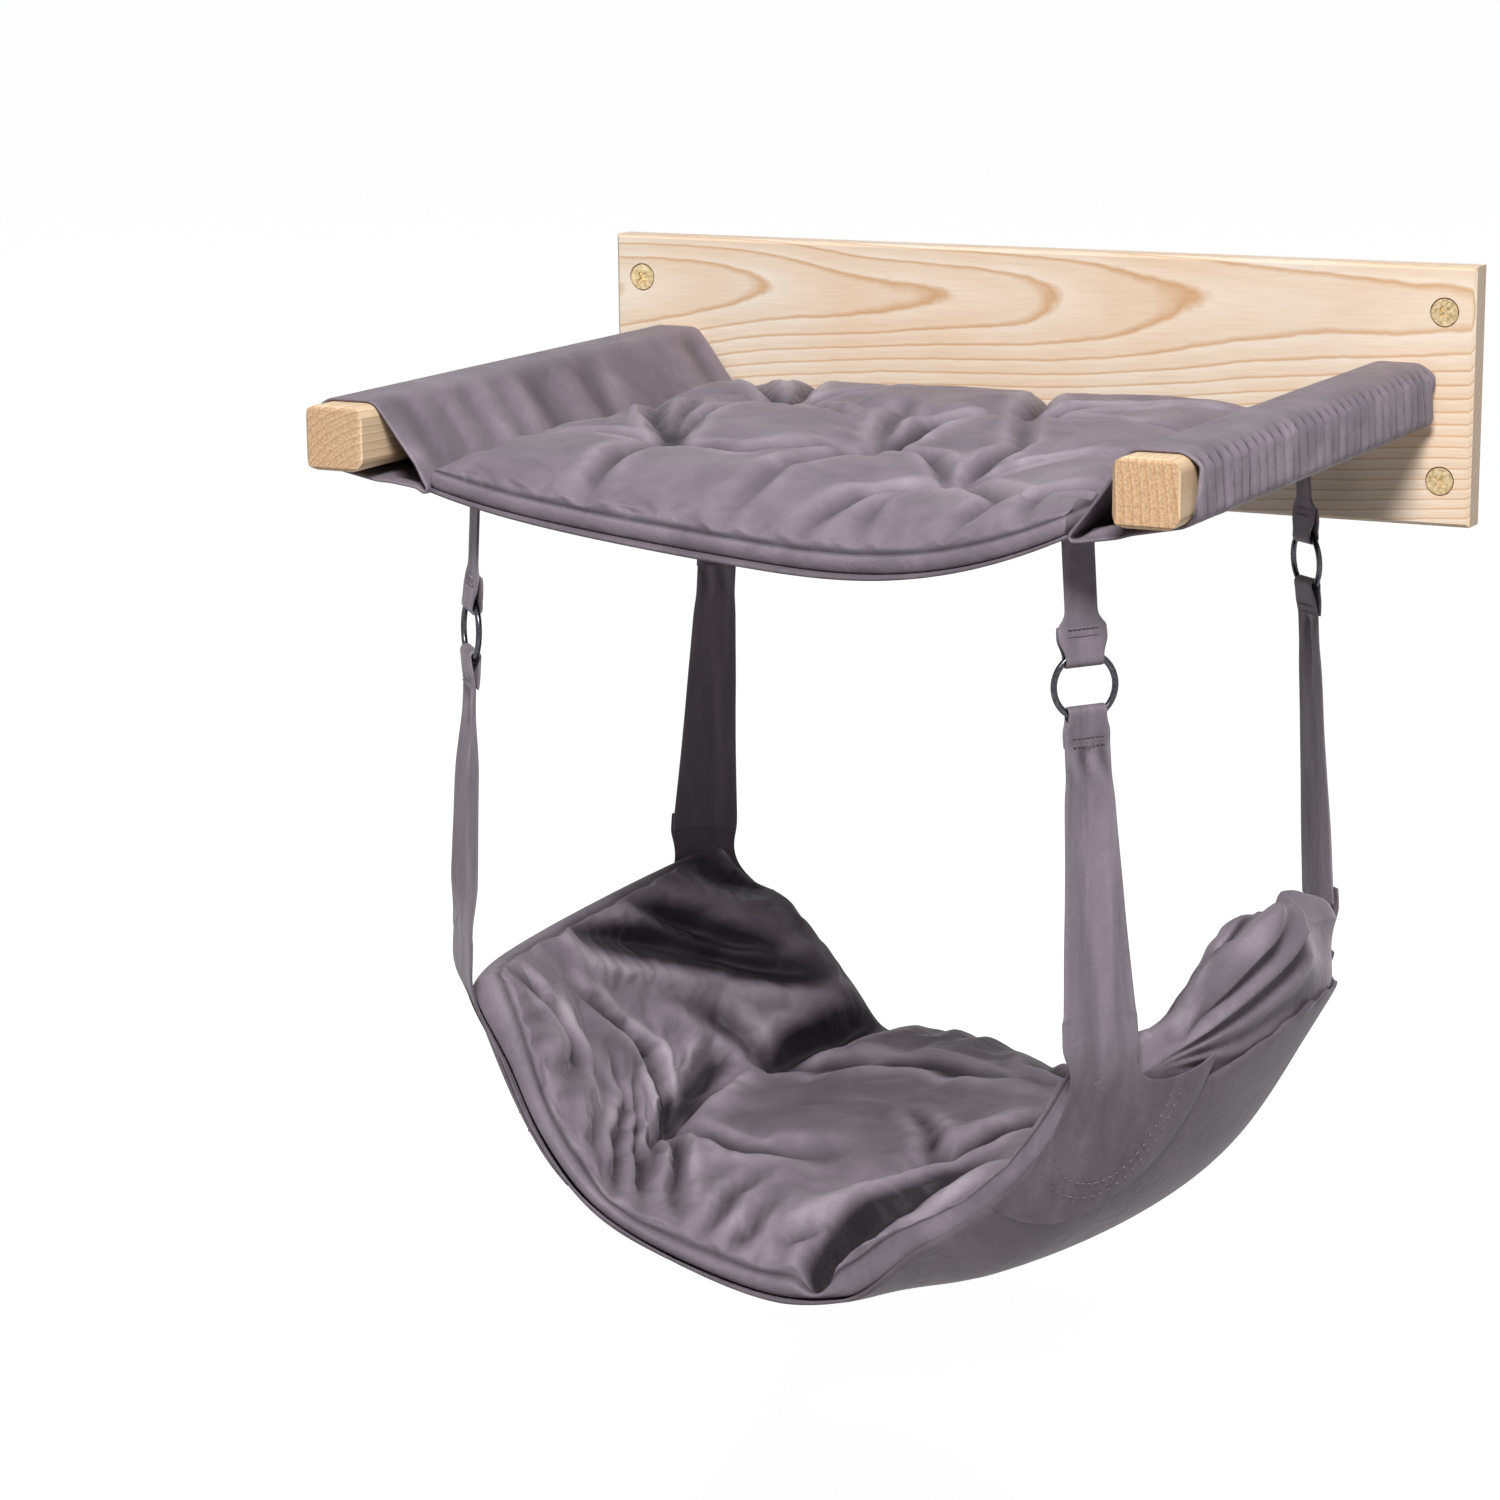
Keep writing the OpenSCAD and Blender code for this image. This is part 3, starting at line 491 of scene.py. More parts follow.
def bed_point(s, t):
    """A place on the bed's trough, before it hangs askew: s runs from its left rim over the keel to
    its right rim, and t from its front edge to its rear edge."""
    u = math.sin(WRAP * s) / math.sin(WRAP)
    belly = 1 - abs(t) ** 3
    side = (1 - t * t) ** 2
    half = RIM_HALF + t * 5 + (32 + u * 18) * side
    cut = CORNER_CUT * abs(u * t) ** 4
    x = u * half - math.copysign(cut, u) + WALL_SWELL * side * math.sin(math.pi * u) + KEEL_SHIFT * (1 - u * u)
    y = BED_MIDDLE + BED_REACH * t - math.copysign(cut, t)
    z = RIM_LEVEL + t * 1.662 + side * (HANG_TILT * u + SIDE_RISE * abs(u) ** 6)
    z -= (TROUGH_DEPTH - t * 13.5 + 6 * belly) * (1 - abs(u) ** (1.76 + 1.7 * belly))
    return Vector((x, y, z))


def bed_normal(s, t):
    a = bed_point(s + 0.01, t) - bed_point(s - 0.01, t)
    b = bed_point(s, t + 0.01) - bed_point(s, t - 0.01)
    return a.cross(b).normalized()


def hang(s, t):
    """How the filled bed hangs, over the plain trough: its front edge sags out to the left and to the
    right of the keel, the front right edge is drawn up into a lip, the right wall bulges and its top
    curls inwards, and the rear edge stands up in two lobes with a notch between."""
    front, rear = smooth_step(0.2, -1.0, t), smooth_step(0.35, 1.0, t)
    notch = bump(s, -0.33, 0.07)
    x = front * (1 + 8 * math.sin(math.pi * s) - 7 * bump(s, -0.36, 0.16) + 5 * bump(s, -0.76, 0.12))
    y = -rear * 6 * notch
    z = -9 * front * bump(s, -0.48, 0.25)
    # The right wall
    rim = smooth_step(0.82, 1.0, s)
    x += 9 * smooth_step(0.6, 0.95, s) * bump(t, 0.28, 0.3) - 30 * rim * bump(t, 0.18, 0.3)
    x += 9 * smooth_step(0.7, 1.0, s) * (1 - t * t) ** 2
    z += rim * (17 * bump(t, -0.38, 0.2) - 13 * bump(t, 0.15, 0.3))
    z -= 10 * smooth_step(0.45, 0.8, s) * smooth_step(0.1, -0.75, t) * smooth_step(-1.0, -0.9, t)
    # The front lip
    z += 16 * smooth_step(0.13, 0.3, s) * smooth_step(1.0, 0.8, s) * smooth_step(-0.72, -1.0, t)
    # The rear edge
    z += rear * (18 * bump(s, -0.62, 0.16) - 10 * notch + 6 * bump(s, -0.12, 0.12) - 12 * bump(s, 0.22, 0.2))
    return Vector((x, y, z))


def lower_floor(s, t):
    return bed_point(s * PAD_SHARE, t * PAD_SHARE) + hang(s, t)


LOWER_TUFT_SHARES = [(a / 13, b / 10) for a, b in ((-5, -2), (-5, 5), (1, -2), (6, -5), (4, 4))]
LOWER_TUFTS = [lower_floor(s, t) for s, t in LOWER_TUFT_SHARES]
RIGHT_NOTCH = lower_floor(1.0, -0.8)
# Folds of the lower pad, points in shares of its net
LOWER_FOLDS = fold_lines([
    # From the left front tuft, which draws the cloth in all round
    (11, 7, [(-0.385, -0.2), (-0.47, -0.03), (-0.67, 0.03), (-0.8, -0.13), (-0.9, -0.36)]),
    (9, 14, [(-0.385, -0.2), (-0.42, 0.11), (-0.49, 0.33), (-0.51, 0.49)]),
    (6, 6, [(-0.385, -0.2), (-0.35, 0.13), (-0.42, 0.45)]),
    (8, 7, [(-0.385, -0.2), (-0.42, -0.39), (-0.39, -0.7), (-0.3, -0.98)]),
    (8, 7, [(-0.36, -0.26), (-0.32, -0.56), (-0.3, -0.87), (-0.25, -1.0)]),
    # Long upright folds that rise from the seam of the front left edge
    (9, 9, [(-0.97, -0.8), (-0.84, -0.66), (-0.74, -0.71), (-0.66, -0.97)]),
    (6, 7, [(-0.42, -0.99), (-0.47, -0.95), (-0.56, -0.88), (-0.67, -0.75)]),
    (9, 7, [(-0.38, -1.0), (-0.47, -0.85), (-0.6, -0.45), (-0.76, -0.3)]),
    (9, 7, [(-0.33, -0.99), (-0.44, -0.68), (-0.54, -0.36), (-0.68, -0.12)]),
    (6, 6, [(-0.2, -1.0), (-0.17, -0.71), (-0.13, -0.45)]),
    (6, 6, [(-0.15, -1.0), (-0.11, -0.87), (-0.08, -0.6)]),
    (6, 7, [(-0.02, -0.9), (0.03, -0.8), (0.08, -0.66)]),
    (6, 9, [(-0.385, -0.2), (-0.2, -0.34), (-0.02, -0.3)]),
    # Dark drawn folds that cross the rear left corner
    (16, 9, [(-1.0, 0.78), (-0.86, 0.9), (-0.7, 0.98)]),
    (19, 9, [(-0.98, 0.36), (-0.85, 0.6), (-0.7, 0.74), (-0.55, 0.88)]),
    (21, 10, [(-0.98, -0.03), (-0.88, 0.37), (-0.72, 0.66), (-0.56, 0.79), (-0.46, 0.93)]),
    # At the notch of the rear edge, on to the rear left tuft
    (24, 11, [(-0.34, 1.04), (-0.38, 0.8), (-0.4, 0.64), (-0.385, 0.5)]),
    (6, 5, [(-0.39, 0.98), (-0.45, 0.87)]),
    (6, 8, [(-0.385, 0.5), (-0.6, 0.5), (-0.8, 0.25)]), (6, 8, [(-0.385, 0.5), (-0.05, 0.55), (0.31, 0.4)]),
    # The deep fold behind the front right lip, on to the middle tuft
    (26, 10, [(0.05, -1.3), (0.085, -0.95), (0.09, -0.6), (0.12, -0.43), (0.18, -0.22)]),
    (5, 5, [(0.077, -0.2), (0.04, 0.0), (-0.02, 0.16)]), (6, 8, [(0.077, -0.2), (0.2, 0.1), (0.31, 0.4)]),
    # Pleats over the lip
    (7, 4, [(0.2, -1.0), (0.2, -0.8), (0.14, -0.62)]), (7, 4, [(0.3, -1.0), (0.28, -0.85), (0.2, -0.6)]),
    (6, 4, [(0.42, -1.0), (0.38, -0.8), (0.28, -0.55)]), (7, 5, [(0.55, -1.0), (0.5, -0.8), (0.38, -0.5)]),
    # Right side, seen over the outer cloth, where the folds spread from the front strap
    (11, 7, [(0.87, -0.64), (0.8, -0.2), (0.7, 0.3)]), (11, 6, [(0.9, -0.66), (0.95, -0.3), (0.98, 0.1)]),
    (9, 6, [(0.93, -0.7), (1.0, -0.45)]), (7, 8, [(0.46, -0.5), (0.65, -0.3), (0.85, -0.35)]),
    (6, 8, [(0.46, -0.5), (0.6, -0.75), (0.8, -0.9)]), (6, 8, [(0.46, -0.5), (0.36, -0.7), (0.3, -0.9)]),
    (7, 8, [(0.31, 0.4), (0.12, 0.7), (0.1, 0.97)]), (7, 8, [(0.31, 0.4), (0.55, 0.6), (0.8, 0.9)]),
    (6, 8, [(0.31, 0.4), (0.6, 0.25), (0.85, 0.35)]), (10, 7, [(1.0, 0.5), (0.85, 0.62), (0.6, 0.95)])],
    lower_floor)


def gathers_at(s, t):
    """Ripples where the loose top cloth is drawn up into the seam round the pad's edge."""
    deep = 0.0
    for edge, along in ((1 - abs(t), s * 210), (1 - abs(s), t * 170)):
        if edge < 0.3:
            wave = noise.noise(Vector((along / 9, 3.1 * (t > 0) + 7.7 * (s > 0), edge)))
            deep += 3.5 * wave * smooth_step(0.0, 0.05, edge) * math.exp(-(edge / 0.16) ** 2)
    return deep


def lower_pad_place(s, t, h):
    """A place on the lower pad: h runs from its floor up through the boxed side to the quilted top."""
    s, t = eased(s), eased(t)
    point, up = lower_floor(s, t), bed_normal(s * PAD_SHARE, t * PAD_SHARE)
    inside = crown(s) * crown(t)
    lip = smooth_step(0.09, 0.16, s) * smooth_step(0.85, 0.5, s)
    # The boxed side is higher at the front left corner and along the right wall
    front = smooth_step(-0.6, -0.95, t)
    band = LOWER_BAND + front * (5 * smooth_step(-0.7, -0.9, s) - 4 * bump(s, -0.35, 0.28))
    band += 8 * smooth_step(0.85, 1.0, s) * smooth_step(0.7, 0.2, t)
    band -= 5 * smooth_step(0.8, 1.0, s) * smooth_step(0.4, 0.9, t)
    # Beside the keel the front edge is pinched down to its cloth
    band *= 1 - 0.75 * bump(s, 0.07, 0.03) * smooth_step(-0.85, -1.0, t)
    lift, painted_shade_and_sheen = band * h, 0.0
    if on_edge(h):
        low = 1 - 0.55 * lip * smooth_step(-0.35, -0.7, t)
        lift += inside * low * (LOWER_CROWN - LOWER_STITCH * tuft_depth(point, LOWER_TUFTS, 13)
                                - LOWER_DISH * tuft_depth(point, LOWER_TUFTS, 34))
        deep, back = folds_at(point, LOWER_FOLDS)
        share = min(1.0, 0.35 + inside)
        lift += gathers_at(s, t) + (back - deep) * share + crumple(point, 0.5 + inside)
        lift = max(lift, 2.0)
        # Painted shade in the folds and round the tufts, and painted sheen on the backs beside the folds
        painted_shade_and_sheen = (deep / 7 - back / 3) * share + 0.5 * tuft_depth(point, LOWER_TUFTS, 9)
        # Deep in the bed and on its rear lobes the velvet is painted darker: painted shadow of the upper
        # hammock
        painted_shade_and_sheen += 0.5 * bump(s, -0.05, 0.4) * bump(t, 0.2, 0.55) + 0.3 * smooth_step(0.4, 0.9, t)
    place = point + up * (3.3 + lift)
    # The lip leans over the deep fold, and the seam is drawn in all round, with painted shade along it
    place.x -= 9 * lip * smooth_step(0.5, 0.18, s) * smooth_step(-0.4, -0.8, t) * h
    if on_edge(s) or on_edge(t):
        outward = (point - lower_floor(s * 0.9, t * 0.9)).normalized()
        if on_edge(h):
            place -= outward * 2.0
            painted_shade_and_sheen = 0.7
        elif h > 0:
            loose = smooth_step(0.9, 1.0, s) * smooth_step(0.75, 0.2, t)
            puff = 3 + 9 * loose * (1 + 0.8 * noise.noise(Vector((t * 8, h, 2))))
            place += outward * puff * math.sin(math.pi * h)
    # Folds that spread over the right wall from the notch beside the front strap, with painted shade in their
    # valleys and painted sheen on their ridges
    reach = place - RIGHT_NOTCH
    drawn = smooth_step(0.8, 0.95, s) * smooth_step(8, 45, reach.length) * smooth_step(200, 110, reach.length)
    if drawn > 0:
        wave = math.cos(25 * math.atan2(reach.z, reach.y) + 1.5 * noise.noise(reach * 0.02))
        place.x += 4 * wave * drawn
        painted_shade_and_sheen -= 0.28 * wave * drawn
    return place, painted_shade_and_sheen


LOWER_KNOTS = [top_of(lower_pad_place, share) for share in LOWER_TUFT_SHARES]
lower_pad, lower_held = make_pad("lower_pad_cover", 160, 128, lower_pad_place, LOWER_KNOTS)
sew_pads([(upper_pad, upper_held, 0.005), (lower_pad, lower_held, 0.006)])
for piece in (upper_pad, lower_pad):
    rounded(piece)

# ---------------- slings
SLING_CLOTH = 1.8

bm = bmesh.new()
bmesh.ops.create_grid(bm, x_segments=60, y_segments=48, size=1)
for vertex in bm.verts:
    x, y = vertex.co.x * SLING_HALF, SLING_MIDDLE + SLING_REACH * vertex.co.y
    vertex.co = Vector((x, y, sling_under(x, y) + 1))
upper_sling = thicken(finish_mesh("upper_sling_cloth", bm, shaded_under_cloth), SLING_CLOTH)

bm = bmesh.new()
bmesh.ops.create_grid(bm, x_segments=90, y_segments=64, size=1)
for vertex in bm.verts:
    s, t = vertex.co.x, vertex.co.y
    # Between the straps the outer cloth ends below the pad, most of all on the right, in a wavy edge
    short = 0.12 + (0.05 + 0.012 * noise.noise(Vector((t * 14, 0, 0)))) * smooth_step(0.3, 1.0, s)
    s *= 1 - short * (1 - abs(t) ** 3)
    vertex.co = bed_point(s, t) + hang(s, t) + bed_normal(s, t) * 1.0
lower_sling = thicken(finish_mesh("lower_sling_cloth", bm, shaded_under_cloth), SLING_CLOTH)


# ---------------- sleeves
def arc(centre, radius, low, high, steps):
    """Places on an arc from one angle to another, in degrees."""
    angles = [math.radians(low + (high - low) * i / steps) for i in range(steps + 1)]
    return [(centre[0] + radius * math.cos(a), centre[1] + radius * math.sin(a)) for a in angles]


def touch(c1, r1, c2, r2, turn):
    """The angle at which a straight run of cloth leaves one round for the next."""
    dx, dy = c2[0] - c1[0], c2[1] - c1[1]
    return math.degrees(math.atan2(dy, dx)) + turn * math.degrees(math.acos(-(r2 - r1) / math.hypot(dx, dy)))


def even_path(points, count):
    """The closed path through the points, as that many evenly spaced points."""
    points = points + [points[0]]
    runs = [0.0]
    for a, b in zip(points, points[1:]):
        runs.append(runs[-1] + math.hypot(b[0] - a[0], b[1] - a[1]))
    out, k = [], 0
    for i in range(count):
        want = runs[-1] * i / count
        while runs[k + 1] < want:
            k += 1
        share = (want - runs[k]) / (runs[k + 1] - runs[k])
        out.append((points[k][0] + share * (points[k + 1][0] - points[k][0]),
                    points[k][1] + share * (points[k + 1][1] - points[k][1])))
    return out


# The sleeve's section round its arm: three corners of the arm, and the seam on the sling
SEAM, SEAM_ROUND, ARM_CORNER, CORNER_ROUND = (-44.5, -27), 2.3, 10, 8.7
low = touch(SEAM, SEAM_ROUND, (ARM_CORNER, -ARM_CORNER), CORNER_ROUND, -1)
high = touch(SEAM, SEAM_ROUND, (-ARM_CORNER, ARM_CORNER), CORNER_ROUND, 1)
LOOP = even_path(arc((ARM_CORNER, -ARM_CORNER), CORNER_ROUND, low, 0, 8)
                 + arc((ARM_CORNER, ARM_CORNER), CORNER_ROUND, 0, 90, 8)
                 + arc((-ARM_CORNER, ARM_CORNER), CORNER_ROUND, 90, high, 8)
                 + arc(SEAM, SEAM_ROUND, high, low + 360, 8), 112)
ARM_X, SLEEVE_MIDDLE, SLEEVE_REACH, GATHER_PITCH = 231.5, -208.5, 186.5, 12.43


def make_sleeve(name, side):
    bm = bmesh.new()
    bmesh.ops.create_cone(bm, segments=len(LOOP), radius1=1, radius2=1, depth=2, cap_ends=False)
    upright = [e for e in bm.edges if abs(e.verts[0].co.z - e.verts[1].co.z) > 0.5]
    bmesh.ops.subdivide_edges(bm, edges=upright, cuts=247, use_grid_fill=True)
    painted_shade_and_sheen = bm.verts.layers.float.new("painted_shade_and_sheen")
    for vertex in bm.verts:
        k = round(math.atan2(vertex.co.y, vertex.co.x) / (2 * math.pi) * len(LOOP)) % len(LOOP)
        x, z = LOOP[k]
        y = SLEEVE_MIDDLE + SLEEVE_REACH * vertex.co.z
        # Gathers stand on the outer wall and die out round its corners, with painted shade between them and
        # painted sheen on them
        wall = smooth_step(8, 17, x)
        rib = wall * smooth_step(18.5, 11, z) * smooth_step(-19.5, -12, z)
        wobble = 2.2 * noise.noise(Vector((y * 0.03, z * 0.05, side * 7)))
        phase = (y + wobble + 0.15 * z) / GATHER_PITCH * 2 * math.pi
        strength = 1 + 0.6 * noise.noise(Vector((y * 0.05, 3, side)))
        x += rib * 3.4 * (0.5 - 0.5 * math.cos(phase)) ** 0.8 * strength
        vertex[painted_shade_and_sheen] = rib * strength * (1.15 * (0.5 + 0.5 * math.cos(phase)) ** 4 - 0.35)
        # Soft folds run down from the arm to the sling, 25 to 40 mm apart, with painted sheen where they swell
        # and painted shade where they sink
        inner = smooth_step(-12, -24, x)
        down = noise.noise(Vector((0.3 * x * 0.02, y * 0.036, side * 5)))
        swell = 1.3 * noise.noise(Vector((x * 0.02, y * 0.02, z * 0.02 + side)))
        swell += 4.5 * down * smooth_step(-46, -38, x)
        x -= inner * swell * 0.5
        z += inner * swell
        vertex[painted_shade_and_sheen] -= inner * down * 0.9
        vertex.co = Vector((side * (ARM_X + x), y, z))
    return thicken(finish_mesh(name, bm, velvet_cloth), 1.5)


left_sleeve = make_sleeve("left_sleeve_cloth", -1)
right_sleeve = make_sleeve("right_sleeve_cloth", 1)

# ---------------- straps
LEAN = math.atan(15 / 248)
# Front and rear: where a strap folds at the sling, and how far below that its ring's middle hangs
STRAP_FOLD = {True: (176, -360, -42.7241), False: (186, -48, -39.4)}
RING_DROP = {True: 66, False: 54}
# From the ring's middle to the end of a loop's straight sides, and a loop's half thickness
RING_REST, LOOP_HALF = 11.014, 2.9
STRAP_LONG, FOOT_START, FOOT_LONG = 248, -238, 52
LOOP_WIDE, FOOT_WIDE = 12.5, 21
STRAP_CLOTH = 1.5


def strap_frame(side, front):
    """From a strap's own axes (x across, y through, z up, fold at zero) to the object's."""
    mirrored = Matrix.Scale(-1, 4, (1, 0, 0)) if side < 0 else Matrix.Identity(4)
    return mirrored @ Matrix.Translation(STRAP_FOLD[front]) \
        @ Matrix.Rotation(-LEAN, 4, "Y") @ Matrix.Rotation(math.radians(45 if front else -45), 4, "Z")


def line(a, b, steps):
    return [(a[0] + (b[0] - a[0]) * i / steps, a[1] + (b[1] - a[1]) * i / steps) for i in range(steps)]


def round_wire(bend, sign):
    """The half round of a loop over its ring's wire, from one straight side to the other."""
    angles = [math.pi * i / 8 for i in range(8)]
    return [(sign * LOOP_HALF * math.cos(a), bend + sign * LOOP_HALF * math.sin(a)) for a in angles]


def upper_strap(corner):
    side, front = CORNERS[corner]
    to_object = strap_frame(side, front)
    z0 = -RING_DROP[front] + RING_REST
    bend = z0 + 2.3
    path = line((0, 11), (0, -8), 8) + line((0, -8), (0, z0 + 20), 8)
    path += line((0, z0 + 20), (-LOOP_HALF, bend), 10)
    path += round_wire(bend, -1)
    path += line((LOOP_HALF, bend), (1.7, z0 + 20), 10) + [(1.7, z0 + 20)]
    bm = bmesh.new()
    bmesh.ops.create_grid(bm, x_segments=16, y_segments=len(path) - 1, size=1)
    for vertex in bm.verts:
        y, z = path[round((vertex.co.y + 1) / 2 * (len(path) - 1))]
        # The end is turned up round the ring and sewn down: wide at the stitches, drawn in at the wire
        half = 9 + 4.5 * smooth_step(z0 + 25, z0 + 20, z) - 3 * smooth_step(z0 + 14, z0 + 4, z)
        vertex.co = to_object @ Vector((vertex.co.x * half, y, z))
    return rounded(thicken(finish_mesh(corner + "_upper_strap_cloth", bm, strap_cloth), STRAP_CLOTH))


def strap_half(z, top):
    """Half width of a lower strap down its run to the foot."""
    share = min(1.0, max(0.0, (top - z) / (top + STRAP_LONG)))
    widths = [(0, 0.5), (0.2, 0.66), (0.58, 0.8), (0.82, 0.91), (1, 1)]
    for (a, wa), (b, wb) in zip(widths, widths[1:]):
        if share <= b:
            return FOOT_WIDE * (wa + (wb - wa) * (share - a) / (b - a))
    return FOOT_WIDE


def corner_cloth(side, front, a, r):
    """A place on the outside of the bed's cloth, r mm from a corner: a runs from -1, along the front
    or rear edge, to 1, along the side."""
    turn = math.radians(45 * (a + 1))
    t = (-1 if front else 1) * (1 - r * math.sin(turn) / BED_REACH)
    s = side * (1 - r * math.cos(turn) / 150) * (1 - 0.12 * (1 - abs(t) ** 3))
    return bed_point(s, t) + hang(s, t) - bed_normal(s, t) * (1.0 - 1.4 * smooth_step(66, 80, r))


def gusset(side, front, a, b):
    """The foot of a strap: it leaves the strap's plane at b = 0 and lies on the bed's corner at b = 1."""
    flat = strap_frame(side, front) @ Vector((FOOT_WIDE * a * (1 + 0.06 * b), 0.4, FOOT_START - FOOT_LONG * b))
    laid = corner_cloth(side, front, a, 80 * smooth_step(0.2, 1.0, b) * (0.8 + 0.2 * abs(a)))
    return flat.lerp(laid, smooth_step(0.3, 0.85, b))


def lower_strap(corner, with_foot):
    side, front = CORNERS[corner]
    to_object = strap_frame(side, front)
    z0 = -RING_DROP[front] - RING_REST
    bend = z0 - 2.3
    last = FOOT_START if with_foot else FOOT_START - 16
    path = [(1.7, z0 - 20)] + line((1.7, z0 - 20), (LOOP_HALF, bend), 10)
    path += round_wire(bend, 1)
    path += line((-LOOP_HALF, bend), (0, z0 - 20), 10)
    loop_rows = len(path)
    path += line((0, z0 - 20), (0, last), 48) + [(0, last)]
    foot_rows = 26 if with_foot else 0
    twist = -0.17 if corner == "front_left" else 0.0
    bm = bmesh.new()
    rows = len(path) - 1 + foot_rows
    bmesh.ops.create_grid(bm, x_segments=20, y_segments=rows, size=1)
    painted_shade_and_sheen = bm.verts.layers.float.new("painted_shade_and_sheen")
    for vertex in bm.verts:
        a = vertex.co.x
        k = round((vertex.co.y + 1) / 2 * rows)
        if k >= len(path):
            share = (k - len(path) + 1) / foot_rows
            vertex.co = gusset(side, front, a, share)
            # Painted shade, darker where the foot lies on the bed's corner
            vertex[painted_shade_and_sheen] = 0.3 * smooth_step(0.1, 0.8, share)
            continue
        y, z = path[k]
        if z > z0 - 20:
            half = LOOP_WIDE - 2 * smooth_step(z0 - 14, z0 - 4, z)
        else:
            half = max(LOOP_WIDE, strap_half(z, z0 - 17.5))
        # Painted shade and sheen: stripes stand for gathers under the sewn loop, and the edges are painted
        # lighter
        drawn = smooth_step(z0 - 17, z0 - 22, z) * smooth_step(z0 - 46, z0 - 24, z)
        vertex[painted_shade_and_sheen] = 0.45 * drawn * math.cos(7 * a + 2 * math.sin(z / 9))
        vertex[painted_shade_and_sheen] -= 0.25 * smooth_step(0.8, 1.0, abs(a))
        if k >= loop_rows:
            # A box pleat under the loop, and a slight wave down the band
            pleat = smooth_step(z0 - 19, z0 - 24, z) * smooth_step(z0 - 75, z0 - 45, z)
            y += 2.0 * math.exp(-(a * half / 3.2) ** 2) * pleat
            y += 0.8 * noise.noise(Vector((a, z / 45, side + 2 * front)))
        turn = twist * smooth_step(z0 - 25, z0 - 70, z) * smooth_step(-236, -205, z)
        vertex.co = to_object @ Vector((a * half * math.cos(turn), y + a * half * math.sin(turn), z))
    return rounded(thicken(finish_mesh(corner + "_lower_strap_cloth", bm, strap_cloth), STRAP_CLOTH))


def strap_foot(corner):
    """A foot on its own, for the straps that only hang into it."""
    side, front = CORNERS[corner]
    bm = bmesh.new()
    bmesh.ops.create_grid(bm, x_segments=20, y_segments=30, size=1)
    away = strap_frame(side, front).to_3x3() @ Vector((0, -1 if front else 1, 0))
    for vertex in bm.verts:
        b = 0.1 + 0.9 * (vertex.co.y + 1) / 2
        # It stands a little off the strap, which turns in it
        vertex.co = gusset(side, front, vertex.co.x * 1.02, b) + away * 2.1 * smooth_step(0.7, 0.25, b)
    return rounded(thicken(finish_mesh(corner + "_strap_foot_cloth", bm, strap_cloth), 1.2))


def thread_rows(name, rows):
    """Rows of single stitches: each row is a list of (place, along, out) in mm."""
    bm = bmesh.new()
    for row in rows:
        for place, along, out in row:
            turn = Matrix((along, out.cross(along), out)).transposed().to_4x4()
            bmesh.ops.create_uvsphere(bm, u_segments=6, v_segments=4, radius=1, matrix=Matrix.Translation(place)
                                      @ turn @ Matrix.Diagonal((1.25, 0.4, 0.4, 1)))
    return finish_mesh(name, bm, sewing_thread)


def across_strap(side, front, z, y, half, count):
    """A straight row of stitches across a strap."""
    to_object = strap_frame(side, front)
    along = (to_object.to_3x3() @ Vector((1, 0, 0))).normalized()
    out = (to_object.to_3x3() @ Vector((0, math.copysign(1, y), 0))).normalized()
    places = [half * (2 * (i + 0.5) / count - 1) for i in range(count)]
    return [(to_object @ Vector((x, y, z)), along, out) for x in places]


def foot_stitches(corner):
    """The two curved rows that hold a foot to the bed's corner."""
    side, front = CORNERS[corner]
    bed_heart = Vector((0, BED_MIDDLE, -250))
    rows = []
    for r in (52, 58):
        row = []
        for i in range(21):
            a = -0.86 + 1.72 * i / 20
            here, ahead = corner_cloth(side, front, a, r), corner_cloth(side, front, a + 0.02, r)
            beyond = corner_cloth(side, front, a, r + 1)
            along = (ahead - here).normalized()
            out = along.cross(beyond - here).normalized()
            if out.dot(here - bed_heart) < 0:
                out = -out
            row.append((here + out * 0.9, along, out))
        rows.append(row)
    return thread_rows(corner + "_strap_foot_stitches", rows)


for corner, (side, front) in CORNERS.items():
    body = "front_straps" if front else "rear_straps"
    upper, lower = upper_strap(corner), lower_strap(corner, front)
    stitches = foot_stitches(corner)
    z_up, z_low = -RING_DROP[front] + RING_REST + 19, -RING_DROP[front] - RING_REST - 19
    upper_stitches = thread_rows(corner + "_upper_loop_stitches", [
        across_strap(side, front, z, y, 8.4, 7) for z in (z_up, z_up - 4) for y in (-2.0, 3.1)])
    lower_stitches = thread_rows(corner + "_lower_loop_stitches", [
        across_strap(side, front, z, y, 8.8, 7) for z in (z_low, z_low + 4) for y in (-2.0, 3.1)])
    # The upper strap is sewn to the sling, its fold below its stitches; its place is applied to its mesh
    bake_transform(upper)
    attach(upper_stitches, body)
    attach(lower_stitches, body)
    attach(stitches, "lower_bed")
    if front:
        # One band of cloth from the loop into the bed: it bends at the fold over the bed's corner
        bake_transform(lower)
        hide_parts(corner + "_strap_foot")
    else:
        foot = strap_foot(corner)
        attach(lower, body)
        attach(foot, "lower_bed")
        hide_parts(corner + "_strap_foot")
    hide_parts(corner + "_upper_strap")
    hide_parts(corner + "_lower_strap")


# ---------------- tuft stitches
def knots(name, places, ups):
    bm = bmesh.new()
    for place, up in zip(places, ups):
        turn = Vector((0, 0, 1)).rotation_difference(up).to_matrix().to_4x4()
        bmesh.ops.create_uvsphere(bm, u_segments=12, v_segments=8, radius=2.6, matrix=Matrix.Translation(place)
                                  @ turn @ Matrix.Scale(0.5, 4, (0, 0, 1)))
    return finish_mesh(name, bm, sewing_thread)


